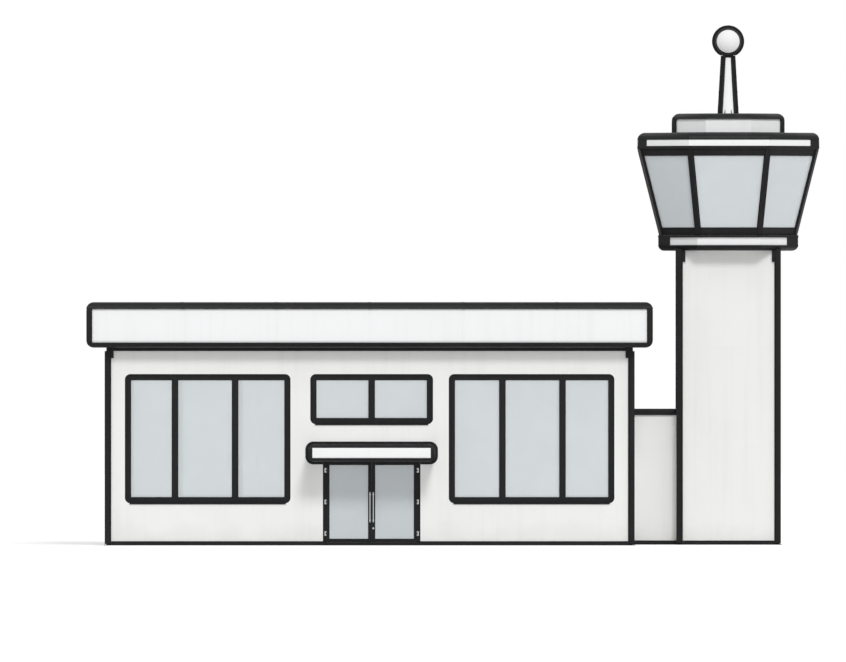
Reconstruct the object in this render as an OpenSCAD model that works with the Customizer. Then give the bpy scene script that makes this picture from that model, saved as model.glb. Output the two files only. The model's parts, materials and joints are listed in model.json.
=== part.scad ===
// Small airport terminal with a control tower.
// A flat-roofed hall, a short link and a square tower with an eight-sided glazed cab.
// The front faces -Y and +Z is up. The origin is on the ground, in the middle of the outline.

/* [Hall] */
// Length of the hall over its end walls
hall_w = 15700; // [14800:100:20000]
// Depth of the hall over its front and back walls
hall_d = 9000; // [8000:100:12000]
// Height from the ground to the underside of the hall's roof
hall_h = 5985; // [5600:5:7000]
// Thickness of the hall's walls
hall_wall_t = 300; // [240:10:400]
// Thickness of the ground floor slabs, which lie on the ground under the walls
floor_t = 90; // [60:5:150]

/* [Hall roof] */
// How far the roof reaches beyond the walls
roof_overhang = 570; // [400:10:900]
// Height of the roof's edge band
fascia_h = 1200; // [900:10:1500]
// Thickness of the roof's edge band
fascia_t = 250; // [220:10:350]
// Radius of the edge band's outer edges
fascia_round = 180; // [60:5:200]
// Thickness of the ceiling, which is also the soffit under the overhang
ceiling_t = 80; // [50:5:120]
// Thickness of the roof deck
deck_t = 150; // [100:10:250]
// How far the edge band stands above the roof deck
parapet_h = 300; // [150:10:400]
// Height of the closing strip at the head of the walls
head_strip_h = 165; // [80:5:250]
// How far the closing strip stands out from the walls
head_strip_t = 35; // [20:1:50]

/* [Corner posts] */
// Width of a building corner's post on each wall
corner_leg = 110; // [80:5:180]
// How far a corner post stands out from the wall
corner_proud = 35; // [20:1:45]
// Width of the bracket at the head of a corner post on each wall
bracket_leg = 185; // [185:5:260]
// How far a bracket stands out from the wall
bracket_proud = 47; // [47:1:70]
// Height of the brackets at the hall's wall heads
hall_bracket_h = 210; // [120:10:400]
// Height of the brackets under the tower's cab
tower_bracket_h = 400; // [200:10:600]

/* [Windows] */
// Width of a three-pane window over its frame
window_w = 4960; // [4400:10:5200]
// Height of a three-pane window over its frame
window_h = 3870; // [3000:10:4200]
// Height of all window heads above the ground
window_head = 5130; // [4900:10:5300]
// Wall between the hall's end and the nearest window
window_end = 520; // [400:10:700]
// Width of the two-pane window above the entrance, over its frame
upper_window_w = 3675; // [2800:5:3900]
// Height of the two-pane window above the entrance, over its frame
upper_window_h = 1500; // [1000:10:1600]
// Seen width of a window frame
frame_w = 170; // [100:5:200]
// Seen width of the bars between panes
mullion_w = 165; // [90:5:200]
// Depth of a window frame
frame_d = 110; // [80:5:160]
// How far the bars and the inner part of a frame lie behind its outer part
frame_step = 20; // [8:1:30]
// Width of a frame's outer part
frame_lip = 60; // [30:5:80]
// How far frames are set back from the face of the wall
frame_setback = 60; // [30:5:80]
// Radius of a frame's outer corners
frame_round = 165; // [60:5:200]
// Radius of a pane's corners
pane_round = 30; // [10:1:50]
// Distance between the middles of the two bars in a three-pane window
bar_spacing = 1800; // [1400:10:2200]
// Sideways shift of both bars in the left front window
left_bar_shift = -80; // [-150:5:150]
// Sideways shift of both bars in the right front window
right_bar_shift = 25; // [-150:5:150]
// Thickness of the insulating glass
glass_t = 28; // [20:1:36]

/* [Entrance] */
// Sideways place of the entrance from the middle of the hall
entrance_x = 60; // [-150:5:150]
// Width of the double door over its frame
door_w = 2920; // [2400:10:3100]
// Seen width of the door frame
jamb_w = 90; // [60:5:110]
// Depth of the door frame
door_frame_d = 120; // [100:5:160]
// Thickness of a door leaf
leaf_t = 50; // [44:1:60]
// Width of the bars around a leaf's glass
stile_w = 85; // [60:5:120]
// Running gap round a closed leaf
leaf_gap = 8; // [6:1:12]
// Gap between the two closed leaves
meeting_gap = 12; // [10:1:16]
// Width of the strip that a closed leaf stops against
stop_w = 20; // [12:1:30]
// Radius of a hinge barrel
barrel_r = 11; // [9:0.5:14]
// Radius of a hinge pin
pin_r = 6; // [4:0.5:7]
// Running clearance between a hinge pin and its bore
pin_clearance = 0.06; // [0.02:0.01:0.1]
// Height of one hinge knuckle
knuckle_h = 45; // [30:1:60]
// Distance from a leaf's ends to the end of its outer hinges
hinge_end = 190; // [120:10:300]
// Length of the pull bars
pull_h = 900; // [500:10:1400]
// Radius of the pull bars
pull_r = 16; // [10:1:20]
// Height of the middle of the pull bars above the floor
pull_z = 1050; // [900:10:1200]
// Clear gap between a pull bar and the leaf
pull_standoff = 42; // [30:1:60]

/* [Canopy] */
// Width of the canopy
canopy_w = 3780; // [3200:10:4200]
// Thickness of the canopy
canopy_t = 495; // [350:5:550]
// How far the canopy reaches out from the wall
canopy_d = 1450; // [1430:10:2000]
// Height of the canopy's underside above the ground
canopy_z = 2520; // [2300:10:2560]
// Radius of the canopy's outer edges
canopy_round = 160; // [60:5:170]
// Gap between the top of a door leaf and the canopy's underside
canopy_clear = 15; // [10:1:30]

/* [Link] */
// Length of the link between the hall and the tower
link_l = 1445; // [1300:5:3000]
// Depth of the link over its walls
link_d = 2200; // [1900:10:2800]
// Height of the link over its roof
link_h = 4020; // [3200:10:4800]
// Thickness of the link's walls
link_wall_t = 200; // [150:10:300]
// Thickness of the link's roof
link_roof_t = 220; // [150:10:300]
// Width of the passage through the walls at both ends of the link
passage_w = 1200; // [900:10:1400]
// Height of the passage above the floor
passage_h = 2150; // [2000:10:2400]

/* [Tower] */
// Width and depth of the tower's shaft
tower_w = 2970; // [2800:10:3400]
// Height from the ground to the underside of the cab
tower_h = 8895; // [8400:5:12000]
// Thickness of the tower's walls
tower_wall_t = 250; // [200:10:350]

/* [Cab] */
// Width of the cab's floor across its flats
cab_floor_w = 4090; // [3900:10:4400]
// Width of the front face of the cab's floor
cab_floor_face = 1870; // [1650:10:1900]
// Thickness of the cab's floor
cab_floor_h = 405; // [250:5:500]
// Radius of the floor's lower edge
cab_floor_round = 130; // [40:5:180]
// Width of the cab across its flats at the head of the glass
cab_head_w = 5380; // [4900:10:5800]
// Width of the front face at the head of the glass
cab_head_face = 2370; // [2100:10:2400]
// Height of the glazed wall between the cab's floor and its roof
cab_wall_h = 2565; // [2200:5:2900]
// Height of the rail under the panes
sill_rail_h = 215; // [100:5:300]
// Height of the rail over the panes
head_rail_h = 170; // [80:5:250]
// Width of a post at a corner of the glazed wall
cab_post_w = 165; // [130:5:200]
// Depth of a post at a corner of the glazed wall
cab_post_d = 110; // [100:5:130]
// Depth of the rails
rail_d = 90; // [60:5:110]
// How far the rails lie behind the outer face of the glazed wall
rail_setback = 8; // [4:1:14]
// How far the cab's roof reaches beyond the head of the glass
eaves_reach = 20; // [10:5:80]
// Height of the cab's roof
eaves_h = 435; // [350:5:600]
// Radius of the roof's upper edge
eaves_top_round = 200; // [60:5:240]
// Radius of the roof's lower edge
eaves_bottom_round = 60; // [20:5:100]
// Width of the cap on the cab's roof
cap_w = 3285; // [2600:5:3800]
// Height of the cap
cap_h = 600; // [400:10:800]
// Radius of the cap's upper edge
cap_round = 180; // [60:5:240]

/* [Mast] */
// Diameter of the mast at its foot
mast_foot_d = 496; // [400:4:560]
// Diameter of the mast at its head, where the ball sits
mast_head_d = 284; // [200:4:320]
// Height of the mast
mast_h = 1845; // [1400:5:2400]
// Width of the flange round the mast's foot
mast_flange_w = 60; // [30:5:100]
// Thickness of the flange
mast_flange_t = 30; // [16:1:40]
// Diameter of the radome ball
ball_d = 830; // [600:10:1000]

/* [Hidden] */
$fn = 96;
// Gap at which a frame sits in its wall and a pane in its frame
fit_gap = 0.3;
// Extra length of shapes that only cut others
cut = 50;
// How far a rail or pane reaches under a corner post before it is cut to fit
post_bite = 20;
// Number of facets in each rounded edge of the eight-sided blocks
round_steps = 6;
// How much larger the rounds are on the slanting sides, so that facets meet at clear corners
slant_round = 1.05;

// Outline of the hall and its roof
front_y = -hall_d / 2;
back_y = hall_d / 2;
roof_w = hall_w + 2 * roof_overhang;
roof_d = hall_d + 2 * roof_overhang;
roof_top = hall_h + fascia_h;
deck_top = roof_top - parapet_h;
hall_x = hall_w / 2;

// Front openings, measured along X from the hall's left end
left_window_x = window_end;
right_window_x = hall_w - window_end - window_w;
door_x = hall_x + entrance_x;
upper_left = door_x - upper_window_w / 2;
upper_right = door_x + upper_window_w / 2;
left_split = (left_window_x + window_w + upper_left) / 2;
right_split = (upper_right + right_window_x) / 2;

// Double door
leaf_top = canopy_z - canopy_clear;
door_clear_h = leaf_top + leaf_gap;
door_h = door_clear_h + jamb_w;
leaf_bottom = floor_t + leaf_gap;
leaf_h = leaf_top - leaf_bottom;
door_face_y = front_y + frame_setback;
leaf_edge = door_w / 2 - jamb_w - leaf_gap;
leaf_w = leaf_edge - meeting_gap / 2;
barrel_off = barrel_r + 2;
plate_t = 4;
plate_w = 45;
plate_clear = 3;
pivot_x = leaf_edge + leaf_gap / 2;
pivot_y = door_face_y - barrel_off;
hinge_h = 3 * knuckle_h;
hinge_levels = [
  leaf_bottom + hinge_end,
  leaf_bottom + leaf_h / 2 - hinge_h / 2,
  leaf_top - hinge_end - hinge_h
];

// Tower and cab
tower_x = hall_w + link_l + tower_w / 2;
cab_z = tower_h + cab_floor_h;
eaves_z = cab_z + cab_wall_h;
cap_z = eaves_z + eaves_h;
mast_z = cap_z + cap_h;
ball_seat = sqrt(pow(ball_d / 2, 2) - pow(mast_head_d / 2, 2));

// The middle of the outline, which becomes the origin
outline_left = -roof_overhang;
outline_right = tower_x + cab_head_w / 2 + eaves_reach;
outline_front = min(front_y - canopy_d, front_y - roof_overhang, -cab_head_w / 2 - eaves_reach);
outline_back = max(back_y + roof_overhang, cab_head_w / 2 + eaves_reach);
origin_x = (outline_left + outline_right) / 2;
origin_y = (outline_front + outline_back) / 2;

// How far an eight-sided outline's slanting sides lie from its middle
function slant_distance(width, face) = (width + face) / 2 / sqrt(2);

// Half the width of the front side of an eight-sided outline
function flat_side(flat, slant) = sqrt(2) * slant - flat;

// Half the width of a slanting side
function slant_side(flat, slant) = sqrt(2) * flat - slant;

// Moves everything from the hall's own frame to the origin
module placed() {
  translate([-origin_x, -origin_y, 0]) children();
}

// A block from its lowest corner to its highest
module block(low, high) {
  translate(low) cube(high - low);
}

// Takes the outside of a rounded corner off, with the corner at the origin and the solid towards +X +Y
module corner_off(r) {
  difference() {
    translate([-1, -1]) square(r + 1);
    translate([r, r]) circle(r);
  }
}

// Upright outline of a block seen from its side, rounded at the top and bottom
module edge_outline(w, h, r_top, r_bottom) {
  difference() {
    translate([-w / 2, 0]) square([w, h]);
    for (side = [0, 1]) mirror([side, 0]) {
      if (r_top > 0) translate([-w / 2, h]) mirror([0, 1]) corner_off(r_top);
      if (r_bottom > 0) translate([-w / 2, 0]) corner_off(r_bottom);
    }
  }
}

// Rectangle with round corners, from its lower left corner
module round_rectangle(w, h, r) {
  difference() {
    square([w, h]);
    for (at = [[0, 0, 0], [w, 0, 90], [w, h, 180], [0, h, 270]])
      translate([at[0], at[1]]) rotate(at[2]) corner_off(r);
  }
}

// Stands an outline up, X along the wall and Y upwards, with its thickness going back from y
module upright(y, depth) {
  translate([0, y + depth, 0]) rotate([90, 0, 0]) linear_extrude(depth) children();
}

// Turns something made for the front wall to the back wall
module to_back() {
  translate([hall_w, 0, 0]) rotate([0, 0, 180]) children();
}

// Turns something made for the front wall, centred on X = 0, to the left end
module to_left_end() {
  rotate([0, 0, -90]) translate([0, hall_d / 2, 0]) children();
}

// Hall shell

module hall_floor() {
  color("gainsboro") placed() block([0, front_y, 0], [hall_w, back_y, floor_t]);
}

// Hole for a window in a wall of the hall, cut right through
module window_hole(x, w, h) {
  upright(front_y - cut, hall_wall_t + 2 * cut)
    translate([x, window_head - h]) round_rectangle(w, h, frame_round);
}

// Stretch of the front wall between two places along X
module front_stretch(x0, x1, z0) {
  block([x0, front_y, z0], [x1, front_y + hall_wall_t, hall_h]);
}

module front_wall_left() {
  color("white") placed() difference() {
    front_stretch(0, left_split, floor_t);
    window_hole(left_window_x, window_w, window_h);
  }
}

module front_wall_right() {
  color("white") placed() difference() {
    front_stretch(right_split, hall_w, floor_t);
    window_hole(right_window_x, window_w, window_h);
  }
}

module front_wall_over_door() {
  color("white") placed() difference() {
    front_stretch(left_split, right_split, door_h);
    window_hole(upper_left, upper_window_w, upper_window_h);
  }
}

// The two stretches of wall beside the door, up to its head
module entrance_piers() {
  color("white") placed() {
    block([left_split, front_y, floor_t], [door_x - door_w / 2, front_y + hall_wall_t, door_h]);
    block([door_x + door_w / 2, front_y, floor_t], [right_split, front_y + hall_wall_t, door_h]);
  }
}

module back_wall() {
  color("white") placed() to_back() difference() {
    front_stretch(0, hall_w, floor_t);
    window_hole(left_window_x, window_w, window_h);
    window_hole(right_window_x, window_w, window_h);
    window_hole(hall_x - upper_window_w / 2, upper_window_w, upper_window_h);
  }
}

// The end walls stand between the front and back walls
module left_wall() {
  half = hall_d / 2 - hall_wall_t;
  color("white") placed() to_left_end() difference() {
    block([-half, front_y, floor_t], [half, front_y + hall_wall_t, hall_h]);
    window_hole(-window_w / 2, window_w, window_h);
  }
}

// Passage into the link, through a wall that stands across X
module passage(x0, x1) {
  block([x0, -passage_w / 2, floor_t - cut], [x1, passage_w / 2, floor_t + passage_h]);
}

module right_wall() {
  color("white") placed() difference() {
    block([hall_w - hall_wall_t, front_y + hall_wall_t, floor_t], [hall_w, back_y - hall_wall_t, hall_h]);
    passage(hall_w - hall_wall_t - cut, hall_w + cut);
  }
}

// Closing strip round the head of the walls, one length a side
module wall_head_strip() {
  z0 = hall_h - head_strip_h;
  t = head_strip_t;
  color("dimgray") placed() {
    for (y = [front_y - t, back_y]) block([-t, y, z0], [hall_w + t, y + t, hall_h]);
    for (x = [-t, hall_w]) block([x, front_y + fit_gap, z0], [x + t, back_y - fit_gap, hall_h]);
  }
}

// Angle that wraps an upright corner, with the corner at the origin and the wall towards +X +Y
module corner_angle(leg, proud, h) {
  difference() {
    translate([-proud, -proud, 0]) cube([leg + proud, leg + proud, h]);
    translate([0, 0, -cut]) cube([leg + cut, leg + cut, h + 2 * cut]);
  }
}

// A post with a bracket at its head, at each of the four corners of a rectangle
module corner_posts(x0, x1, y0, y1, h, bracket_h) {
  for (at = [[x0, y0, 0], [x1, y0, 90], [x1, y1, 180], [x0, y1, 270]])
    translate([at[0], at[1], 0]) rotate([0, 0, at[2]]) {
      corner_angle(corner_leg, corner_proud, h);
      translate([0, 0, h - bracket_h]) corner_angle(bracket_leg, bracket_proud, bracket_h);
    }
}

// The hall's posts stop under the closing strip
module hall_corner_posts() {
  color("dimgray") placed()
    corner_posts(0, hall_w, front_y, back_y, hall_h - head_strip_h - fit_gap, hall_bracket_h);
}

// Hall roof

module ceiling() {
  inset = roof_overhang - fascia_t;
  color("whitesmoke") placed()
    block([-inset, front_y - inset, hall_h], [hall_w + inset, back_y + inset, hall_h + ceiling_t]);
}

module roof_deck() {
  inset = roof_overhang - fascia_t;
  color("darkgray") placed()
    block([-inset, front_y - inset, deck_top - deck_t], [hall_w + inset, back_y + inset, deck_top]);
}

// One length of the edge band, centred on X = 0, outer face at y = 0, with mitred ends
module fascia_run(length) {
  intersection() {
    rotate([90, 0, 90]) linear_extrude(length + 2 * cut, center = true) difference() {
      square([fascia_t, fascia_h]);
      corner_off(fascia_round);
      translate([0, fascia_h]) mirror([0, 1]) corner_off(fascia_round);
    }
    linear_extrude(fascia_h) polygon([
      [-length / 2, 0], [length / 2, 0],
      [length / 2 - fascia_t, fascia_t], [-length / 2 + fascia_t, fascia_t]
    ]);
  }
}

// Puts a length of edge band on one side of the roof
module fascia_side(angle, length, reach) {
  color("white") placed() translate([hall_x, 0, hall_h])
    rotate([0, 0, angle]) translate([0, -reach, 0]) fascia_run(length);
}

module fascia_front_back() {
  for (angle = [0, 180]) fascia_side(angle, roof_w, roof_d / 2);
}

module fascia_ends() {
  for (angle = [90, 270]) fascia_side(angle, roof_d, roof_w / 2);
}

// Windows

// Outline of the panes of a window, from the middles of its bars
module pane_outlines(w, h, bars, grow) {
  edges = concat([frame_w - mullion_w / 2], bars, [w - frame_w + mullion_w / 2]);
  for (i = [0 : len(edges) - 2]) {
    x0 = edges[i] + mullion_w / 2 - grow;
    x1 = edges[i + 1] - mullion_w / 2 + grow;
    translate([x0, frame_w - grow]) round_rectangle(x1 - x0, h - 2 * frame_w + 2 * grow, pane_round + grow);
  }
}

// Frame with its bars, from its lower left corner, for the front wall
module window_frame(x, w, h, bars) {
  y = front_y + frame_setback;
  translate([0, 0, window_head - h]) {
    difference() {
      upright(y, frame_d) translate([x + fit_gap, fit_gap])
        round_rectangle(w - 2 * fit_gap, h - 2 * fit_gap, frame_round);
      upright(y - cut, cut + frame_step) translate([x + frame_lip, frame_lip])
        round_rectangle(w - 2 * frame_lip, h - 2 * frame_lip, frame_round - frame_lip / 2);
      upright(y - cut, frame_d + 2 * cut) translate([x, 0]) pane_outlines(w, h, bars, 0);
    }
  }
}

// Panes of a window, in the middle of the bars' depth
module window_glass(x, w, h, bars) {
  y = front_y + frame_setback + frame_step + (frame_d - frame_step - glass_t) / 2;
  translate([0, 0, window_head - h])
    upright(y, glass_t) translate([x, 0]) pane_outlines(w, h, bars, -fit_gap);
}

function two_bars(shift) = [(window_w - bar_spacing) / 2 + shift, (window_w + bar_spacing) / 2 + shift];

module front_window_frames() {
  color("dimgray") placed() {
    window_frame(left_window_x, window_w, window_h, two_bars(left_bar_shift));
    window_frame(right_window_x, window_w, window_h, two_bars(right_bar_shift));
  }
}

module front_window_glass() {
  color("lightblue", 0.4) placed() {
    window_glass(left_window_x, window_w, window_h, two_bars(left_bar_shift));
    window_glass(right_window_x, window_w, window_h, two_bars(right_bar_shift));
  }
}

module upper_window_frame() {
  color("dimgray") placed()
    window_frame(upper_left, upper_window_w, upper_window_h, [upper_window_w / 2]);
}

module upper_window_glass() {
  color("lightblue", 0.4) placed()
    window_glass(upper_left, upper_window_w, upper_window_h, [upper_window_w / 2]);
}

module back_window_frames() {
  color("dimgray") placed() to_back() {
    window_frame(left_window_x, window_w, window_h, two_bars(0));
    window_frame(right_window_x, window_w, window_h, two_bars(0));
    window_frame(hall_x - upper_window_w / 2, upper_window_w, upper_window_h, [upper_window_w / 2]);
  }
}

module back_window_glass() {
  color("lightblue", 0.4) placed() to_back() {
    window_glass(left_window_x, window_w, window_h, two_bars(0));
    window_glass(right_window_x, window_w, window_h, two_bars(0));
    window_glass(hall_x - upper_window_w / 2, upper_window_w, upper_window_h, [upper_window_w / 2]);
  }
}

module end_window_frame() {
  color("dimgray") placed() to_left_end()
    window_frame(-window_w / 2, window_w, window_h, two_bars(0));
}

module end_window_glass() {
  color("lightblue", 0.4) placed() to_left_end()
    window_glass(-window_w / 2, window_w, window_h, two_bars(0));
}

// Entrance

// Puts something made for a door centred on X = 0 at the entrance
module at_door() {
  placed() translate([door_x, 0, 0]) children();
}

// Two jambs and a head, with a stop strip behind the leaves
module door_frame() {
  half = door_w / 2 - fit_gap;
  clear = door_w / 2 - jamb_w;
  stop_y = door_face_y + leaf_t + leaf_gap;
  color("dimgray") at_door() difference() {
    block([-half, door_face_y, floor_t], [half, door_face_y + door_frame_d, door_h - fit_gap]);
    block([-clear, door_face_y - cut, floor_t - cut], [clear, stop_y, door_clear_h]);
    block([-clear + stop_w, stop_y - cut, floor_t - cut],
          [clear - stop_w, door_face_y + door_frame_d + cut, door_clear_h - stop_w]);
  }
}

// Flat plate of a hinge on the face of the frame or leaf, reaching towards +X from the pivot
module hinge_plate(z0, z1, start) {
  block([start, barrel_off - plate_t, z0], [plate_w, barrel_off, z1]);
}

// The half of a hinge that stays with the frame, with its pivot along Z at the origin
module hinge_on_frame() {
  cylinder(r = pin_r, h = hinge_h);
  for (z = [0, 2 * knuckle_h]) {
    translate([0, 0, z]) cylinder(r = barrel_r, h = knuckle_h);
    mirror([1, 0, 0]) hinge_plate(z, z + knuckle_h, 0);
  }
  mirror([1, 0, 0]) hinge_plate(0, hinge_h, barrel_r + plate_clear);
}

// The half of a hinge that turns with the leaf
module hinge_on_leaf() {
  gap = 0.5;
  difference() {
    union() {
      translate([0, 0, knuckle_h + gap]) cylinder(r = barrel_r, h = knuckle_h - 2 * gap);
      hinge_plate(knuckle_h + gap, 2 * knuckle_h - gap, 0);
    }
    cylinder(r = pin_r + pin_clearance, h = hinge_h);
  }
  hinge_plate(0, hinge_h, barrel_r + plate_clear);
}

// All hinges of one leaf, for the leaf on the left
module left_hinges() {
  for (z = hinge_levels) translate([-pivot_x, pivot_y, z]) children();
}

module door_hinges() {
  color("silver") at_door() for (side = [0, 1]) mirror([side, 0, 0]) left_hinges() hinge_on_frame();
}

// Leaf with its glass cut out and its hinge halves, for the leaf on the left
module leaf() {
  difference() {
    block([-leaf_edge, door_face_y, leaf_bottom], [-leaf_edge + leaf_w, door_face_y + leaf_t, leaf_top]);
    block([-leaf_edge + stile_w, door_face_y - cut, leaf_bottom + stile_w],
          [-leaf_edge + leaf_w - stile_w, door_face_y + leaf_t + cut, leaf_top - stile_w]);
  }
  left_hinges() hinge_on_leaf();
}

module leaf_glass() {
  y = door_face_y + (leaf_t - glass_t) / 2;
  block([-leaf_edge + stile_w + fit_gap, y, leaf_bottom + stile_w + fit_gap],
        [-leaf_edge + leaf_w - stile_w - fit_gap, y + glass_t, leaf_top - stile_w - fit_gap]);
}

// Pull bar on two short arms, standing out towards -Y from the origin
module pull() {
  y = -pull_standoff - pull_r;
  translate([0, y, -pull_h / 2]) cylinder(r = pull_r, h = pull_h);
  for (z = [-pull_h / 2 + 4 * pull_r, pull_h / 2 - 4 * pull_r])
    translate([0, 0, z]) rotate([90, 0, 0]) cylinder(r = pull_r * 0.6, h = -y);
}

// A pull on each face of the leaf on the left
module leaf_pulls() {
  translate([-meeting_gap / 2 - stile_w / 2, 0, floor_t + pull_z]) {
    translate([0, door_face_y, 0]) pull();
    translate([0, door_face_y + leaf_t, 0]) mirror([0, 1, 0]) pull();
  }
}

module left_door_leaf() {
  color("dimgray") at_door() leaf();
}

module left_door_glass() {
  color("lightblue", 0.4) at_door() leaf_glass();
}

module left_door_pulls() {
  color("silver") at_door() leaf_pulls();
}

module right_door_leaf() {
  color("dimgray") at_door() mirror([1, 0, 0]) leaf();
}

module right_door_glass() {
  color("lightblue", 0.4) at_door() mirror([1, 0, 0]) leaf_glass();
}

module right_door_pulls() {
  color("silver") at_door() mirror([1, 0, 0]) leaf_pulls();
}

// Canopy over the door, flat against the wall and rounded on its other sides
module canopy() {
  color("white") at_door() translate([0, front_y, canopy_z]) intersection() {
    rotate([90, 0, 0]) linear_extrude(canopy_d)
      edge_outline(canopy_w, canopy_t, canopy_round, canopy_round);
    rotate([90, 0, 90]) linear_extrude(canopy_w, center = true)
      edge_outline(2 * canopy_d, canopy_t, canopy_round, canopy_round);
  }
}

// Link

module link_floor() {
  color("gainsboro") placed() block([hall_w, -link_d / 2, 0], [hall_w + link_l, link_d / 2, floor_t]);
}

module link_walls() {
  color("white") placed() for (side = [0, 1]) mirror([0, side, 0])
    block([hall_w, -link_d / 2, floor_t],
          [hall_w + link_l, -link_d / 2 + link_wall_t, link_h - link_roof_t]);
}

module link_roof() {
  color("white") placed()
    block([hall_w, -link_d / 2, link_h - link_roof_t], [hall_w + link_l, link_d / 2, link_h]);
}

// Tower

// Puts something made round the tower's middle in its place
module at_tower() {
  placed() translate([tower_x, 0, 0]) children();
}

module tower_floor() {
  color("gainsboro") at_tower() translate([-tower_w / 2, -tower_w / 2, 0]) cube([tower_w, tower_w, floor_t]);
}

// Front and back walls take the tower's full width
module wide_tower_wall() {
  block([-tower_w / 2, -tower_w / 2, floor_t], [tower_w / 2, -tower_w / 2 + tower_wall_t, tower_h]);
}

// Side walls stand between them
module narrow_tower_wall() {
  half = tower_w / 2 - tower_wall_t;
  block([half, -half, floor_t], [tower_w / 2, half, tower_h]);
}

module tower_front_wall() {
  color("white") at_tower() wide_tower_wall();
}

module tower_back_wall() {
  color("white") at_tower() mirror([0, 1, 0]) wide_tower_wall();
}

module tower_right_wall() {
  color("white") at_tower() narrow_tower_wall();
}

module tower_left_wall() {
  color("white") at_tower() difference() {
    mirror([1, 0, 0]) narrow_tower_wall();
    passage(-tower_w / 2 - cut, -tower_w / 2 + tower_wall_t + cut);
  }
}

module tower_corner_posts() {
  half = tower_w / 2;
  color("dimgray") at_tower() corner_posts(-half, half, -half, half, tower_h, tower_bracket_h);
}

// Cab

floor_flat = cab_floor_w / 2;
floor_slant = slant_distance(cab_floor_w, cab_floor_face);
head_flat = cab_head_w / 2;
head_slant = slant_distance(cab_head_w, cab_head_face);

// Points of a quarter round about (x, z) from an angle, or a sharp corner where the radius is 0
function quarter_round(x, z, r, start) =
  r == 0 ? [[x, z]] : [
    for (i = [0 : round_steps]) let (a = start + 90 * i / round_steps) [x + r * cos(a), z + r * sin(a)]
  ];

// Upright outline of a block with flat facets for its rounded edges
module faceted_outline(w, h, r_top, r_bottom) {
  polygon(concat(
    quarter_round(w / 2 - r_top, h - r_top, r_top, 0),
    quarter_round(-w / 2 + r_top, h - r_top, r_top, 90),
    quarter_round(-w / 2 + r_bottom, r_bottom, r_bottom, 180),
    quarter_round(w / 2 - r_bottom, r_bottom, r_bottom, 270)
  ));
}

// Eight-sided block with rounded upper and lower edges, from the distances of its flat and slanting sides
module eight_sided(flat, slant, h, r_top, r_bottom) {
  intersection_for(i = [0 : 3])
    rotate([0, 0, 45 * i]) rotate([90, 0, 0])
      linear_extrude(4 * flat, center = true)
        if (i % 2 == 0) faceted_outline(2 * flat, h, r_top, r_bottom);
        else faceted_outline(2 * slant, h, r_top * slant_round, r_bottom * slant_round);
}

module cab_floor() {
  color("white") at_tower() translate([0, 0, tower_h])
    eight_sided(floor_flat, floor_slant, cab_floor_h, 0, cab_floor_round);
}

// Post that leans outwards at one corner, from the floor's corner to the corner at the glass head
module leaning_post(foot, head) {
  inset = cab_post_d / 2 / cos(22.5);
  lean = head - foot;
  across = sqrt(lean[0] * lean[0] + lean[1] * lean[1]);
  turn = atan2(lean[1], lean[0]);
  tilt = atan2(across, cab_wall_h);
  length = sqrt(across * across + cab_wall_h * cab_wall_h);
  reach = cab_post_d;
  translate([foot[0] - inset * cos(turn), foot[1] - inset * sin(turn), cab_z])
    rotate([0, tilt, turn]) translate([-cab_post_d / 2, -cab_post_w / 2, -reach])
      cube([cab_post_d, cab_post_w, length + 2 * reach]);
}

// Cuts what leans level with the cab's floor and roof, between two heights above the floor
module cab_layer(z0, z1) {
  intersection() {
    children();
    translate([-cab_head_w, -cab_head_w, cab_z + z0]) cube([2 * cab_head_w, 2 * cab_head_w, z1 - z0]);
  }
}

module all_posts() {
  foot_side = flat_side(floor_flat, floor_slant);
  head_side = flat_side(head_flat, head_slant);
  for (quarter = [0 : 3], side = [-1, 1])
    rotate([0, 0, 90 * quarter])
      leaning_post([side * foot_side, -floor_flat], [side * head_side, -head_flat]);
}

module cab_posts() {
  color("dimgray") at_tower() cab_layer(0, cab_wall_h) all_posts();
}

// One leaning face of the glazed wall, as a plate between two depths behind its outer plane
module cab_face(i, depth0, depth1) {
  level = i % 2 == 0;
  foot = level ? floor_flat : floor_slant;
  head = level ? head_flat : head_slant;
  foot_side = level ? flat_side(floor_flat, floor_slant) : slant_side(floor_flat, floor_slant);
  head_side = level ? flat_side(head_flat, head_slant) : slant_side(head_flat, head_slant);
  rise = sqrt(pow(head - foot, 2) + pow(cab_wall_h, 2));
  tilt = atan2(head - foot, cab_wall_h);
  spread = (head_side - foot_side) / rise;
  low = -rail_d;
  high = rise + rail_d;
  low_side = foot_side + spread * low - post_bite;
  high_side = foot_side + spread * high - post_bite;
  rotate([0, 0, 45 * i]) translate([0, -foot, cab_z]) rotate([tilt + 90, 0, 0])
    translate([0, 0, -depth1]) linear_extrude(depth1 - depth0)
      polygon([[-low_side, low], [low_side, low], [high_side, high], [-high_side, high]]);
}

// All eight faces between two heights, cut to fit between the posts
module cab_band(z0, z1, depth0, depth1) {
  difference() {
    cab_layer(z0, z1) for (i = [0 : 7]) cab_face(i, depth0, depth1);
    all_posts();
  }
}

module cab_rails() {
  depth1 = rail_setback + rail_d;
  color("dimgray") at_tower() {
    cab_band(0, sill_rail_h, rail_setback, depth1);
    cab_band(cab_wall_h - head_rail_h, cab_wall_h, rail_setback, depth1);
  }
}

module cab_glass() {
  depth0 = rail_setback + (rail_d - glass_t) / 2;
  color("lightblue", 0.4) at_tower()
    cab_band(sill_rail_h, cab_wall_h - head_rail_h, depth0, depth0 + glass_t);
}

module cab_roof() {
  color("white") at_tower() translate([0, 0, eaves_z])
    eight_sided(head_flat + eaves_reach, head_slant + eaves_reach, eaves_h,
                eaves_top_round, eaves_bottom_round);
}

module roof_cap() {
  color("white") at_tower() translate([0, 0, cap_z])
    eight_sided(cap_w / 2, cap_w / 2, cap_h, cap_round, 0);
}

// Mast

module mast() {
  color("white") at_tower() translate([0, 0, mast_z]) {
    cylinder(d = mast_foot_d + 2 * mast_flange_w, h = mast_flange_t);
    cylinder(d1 = mast_foot_d, d2 = mast_head_d, h = mast_h);
  }
}

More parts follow.
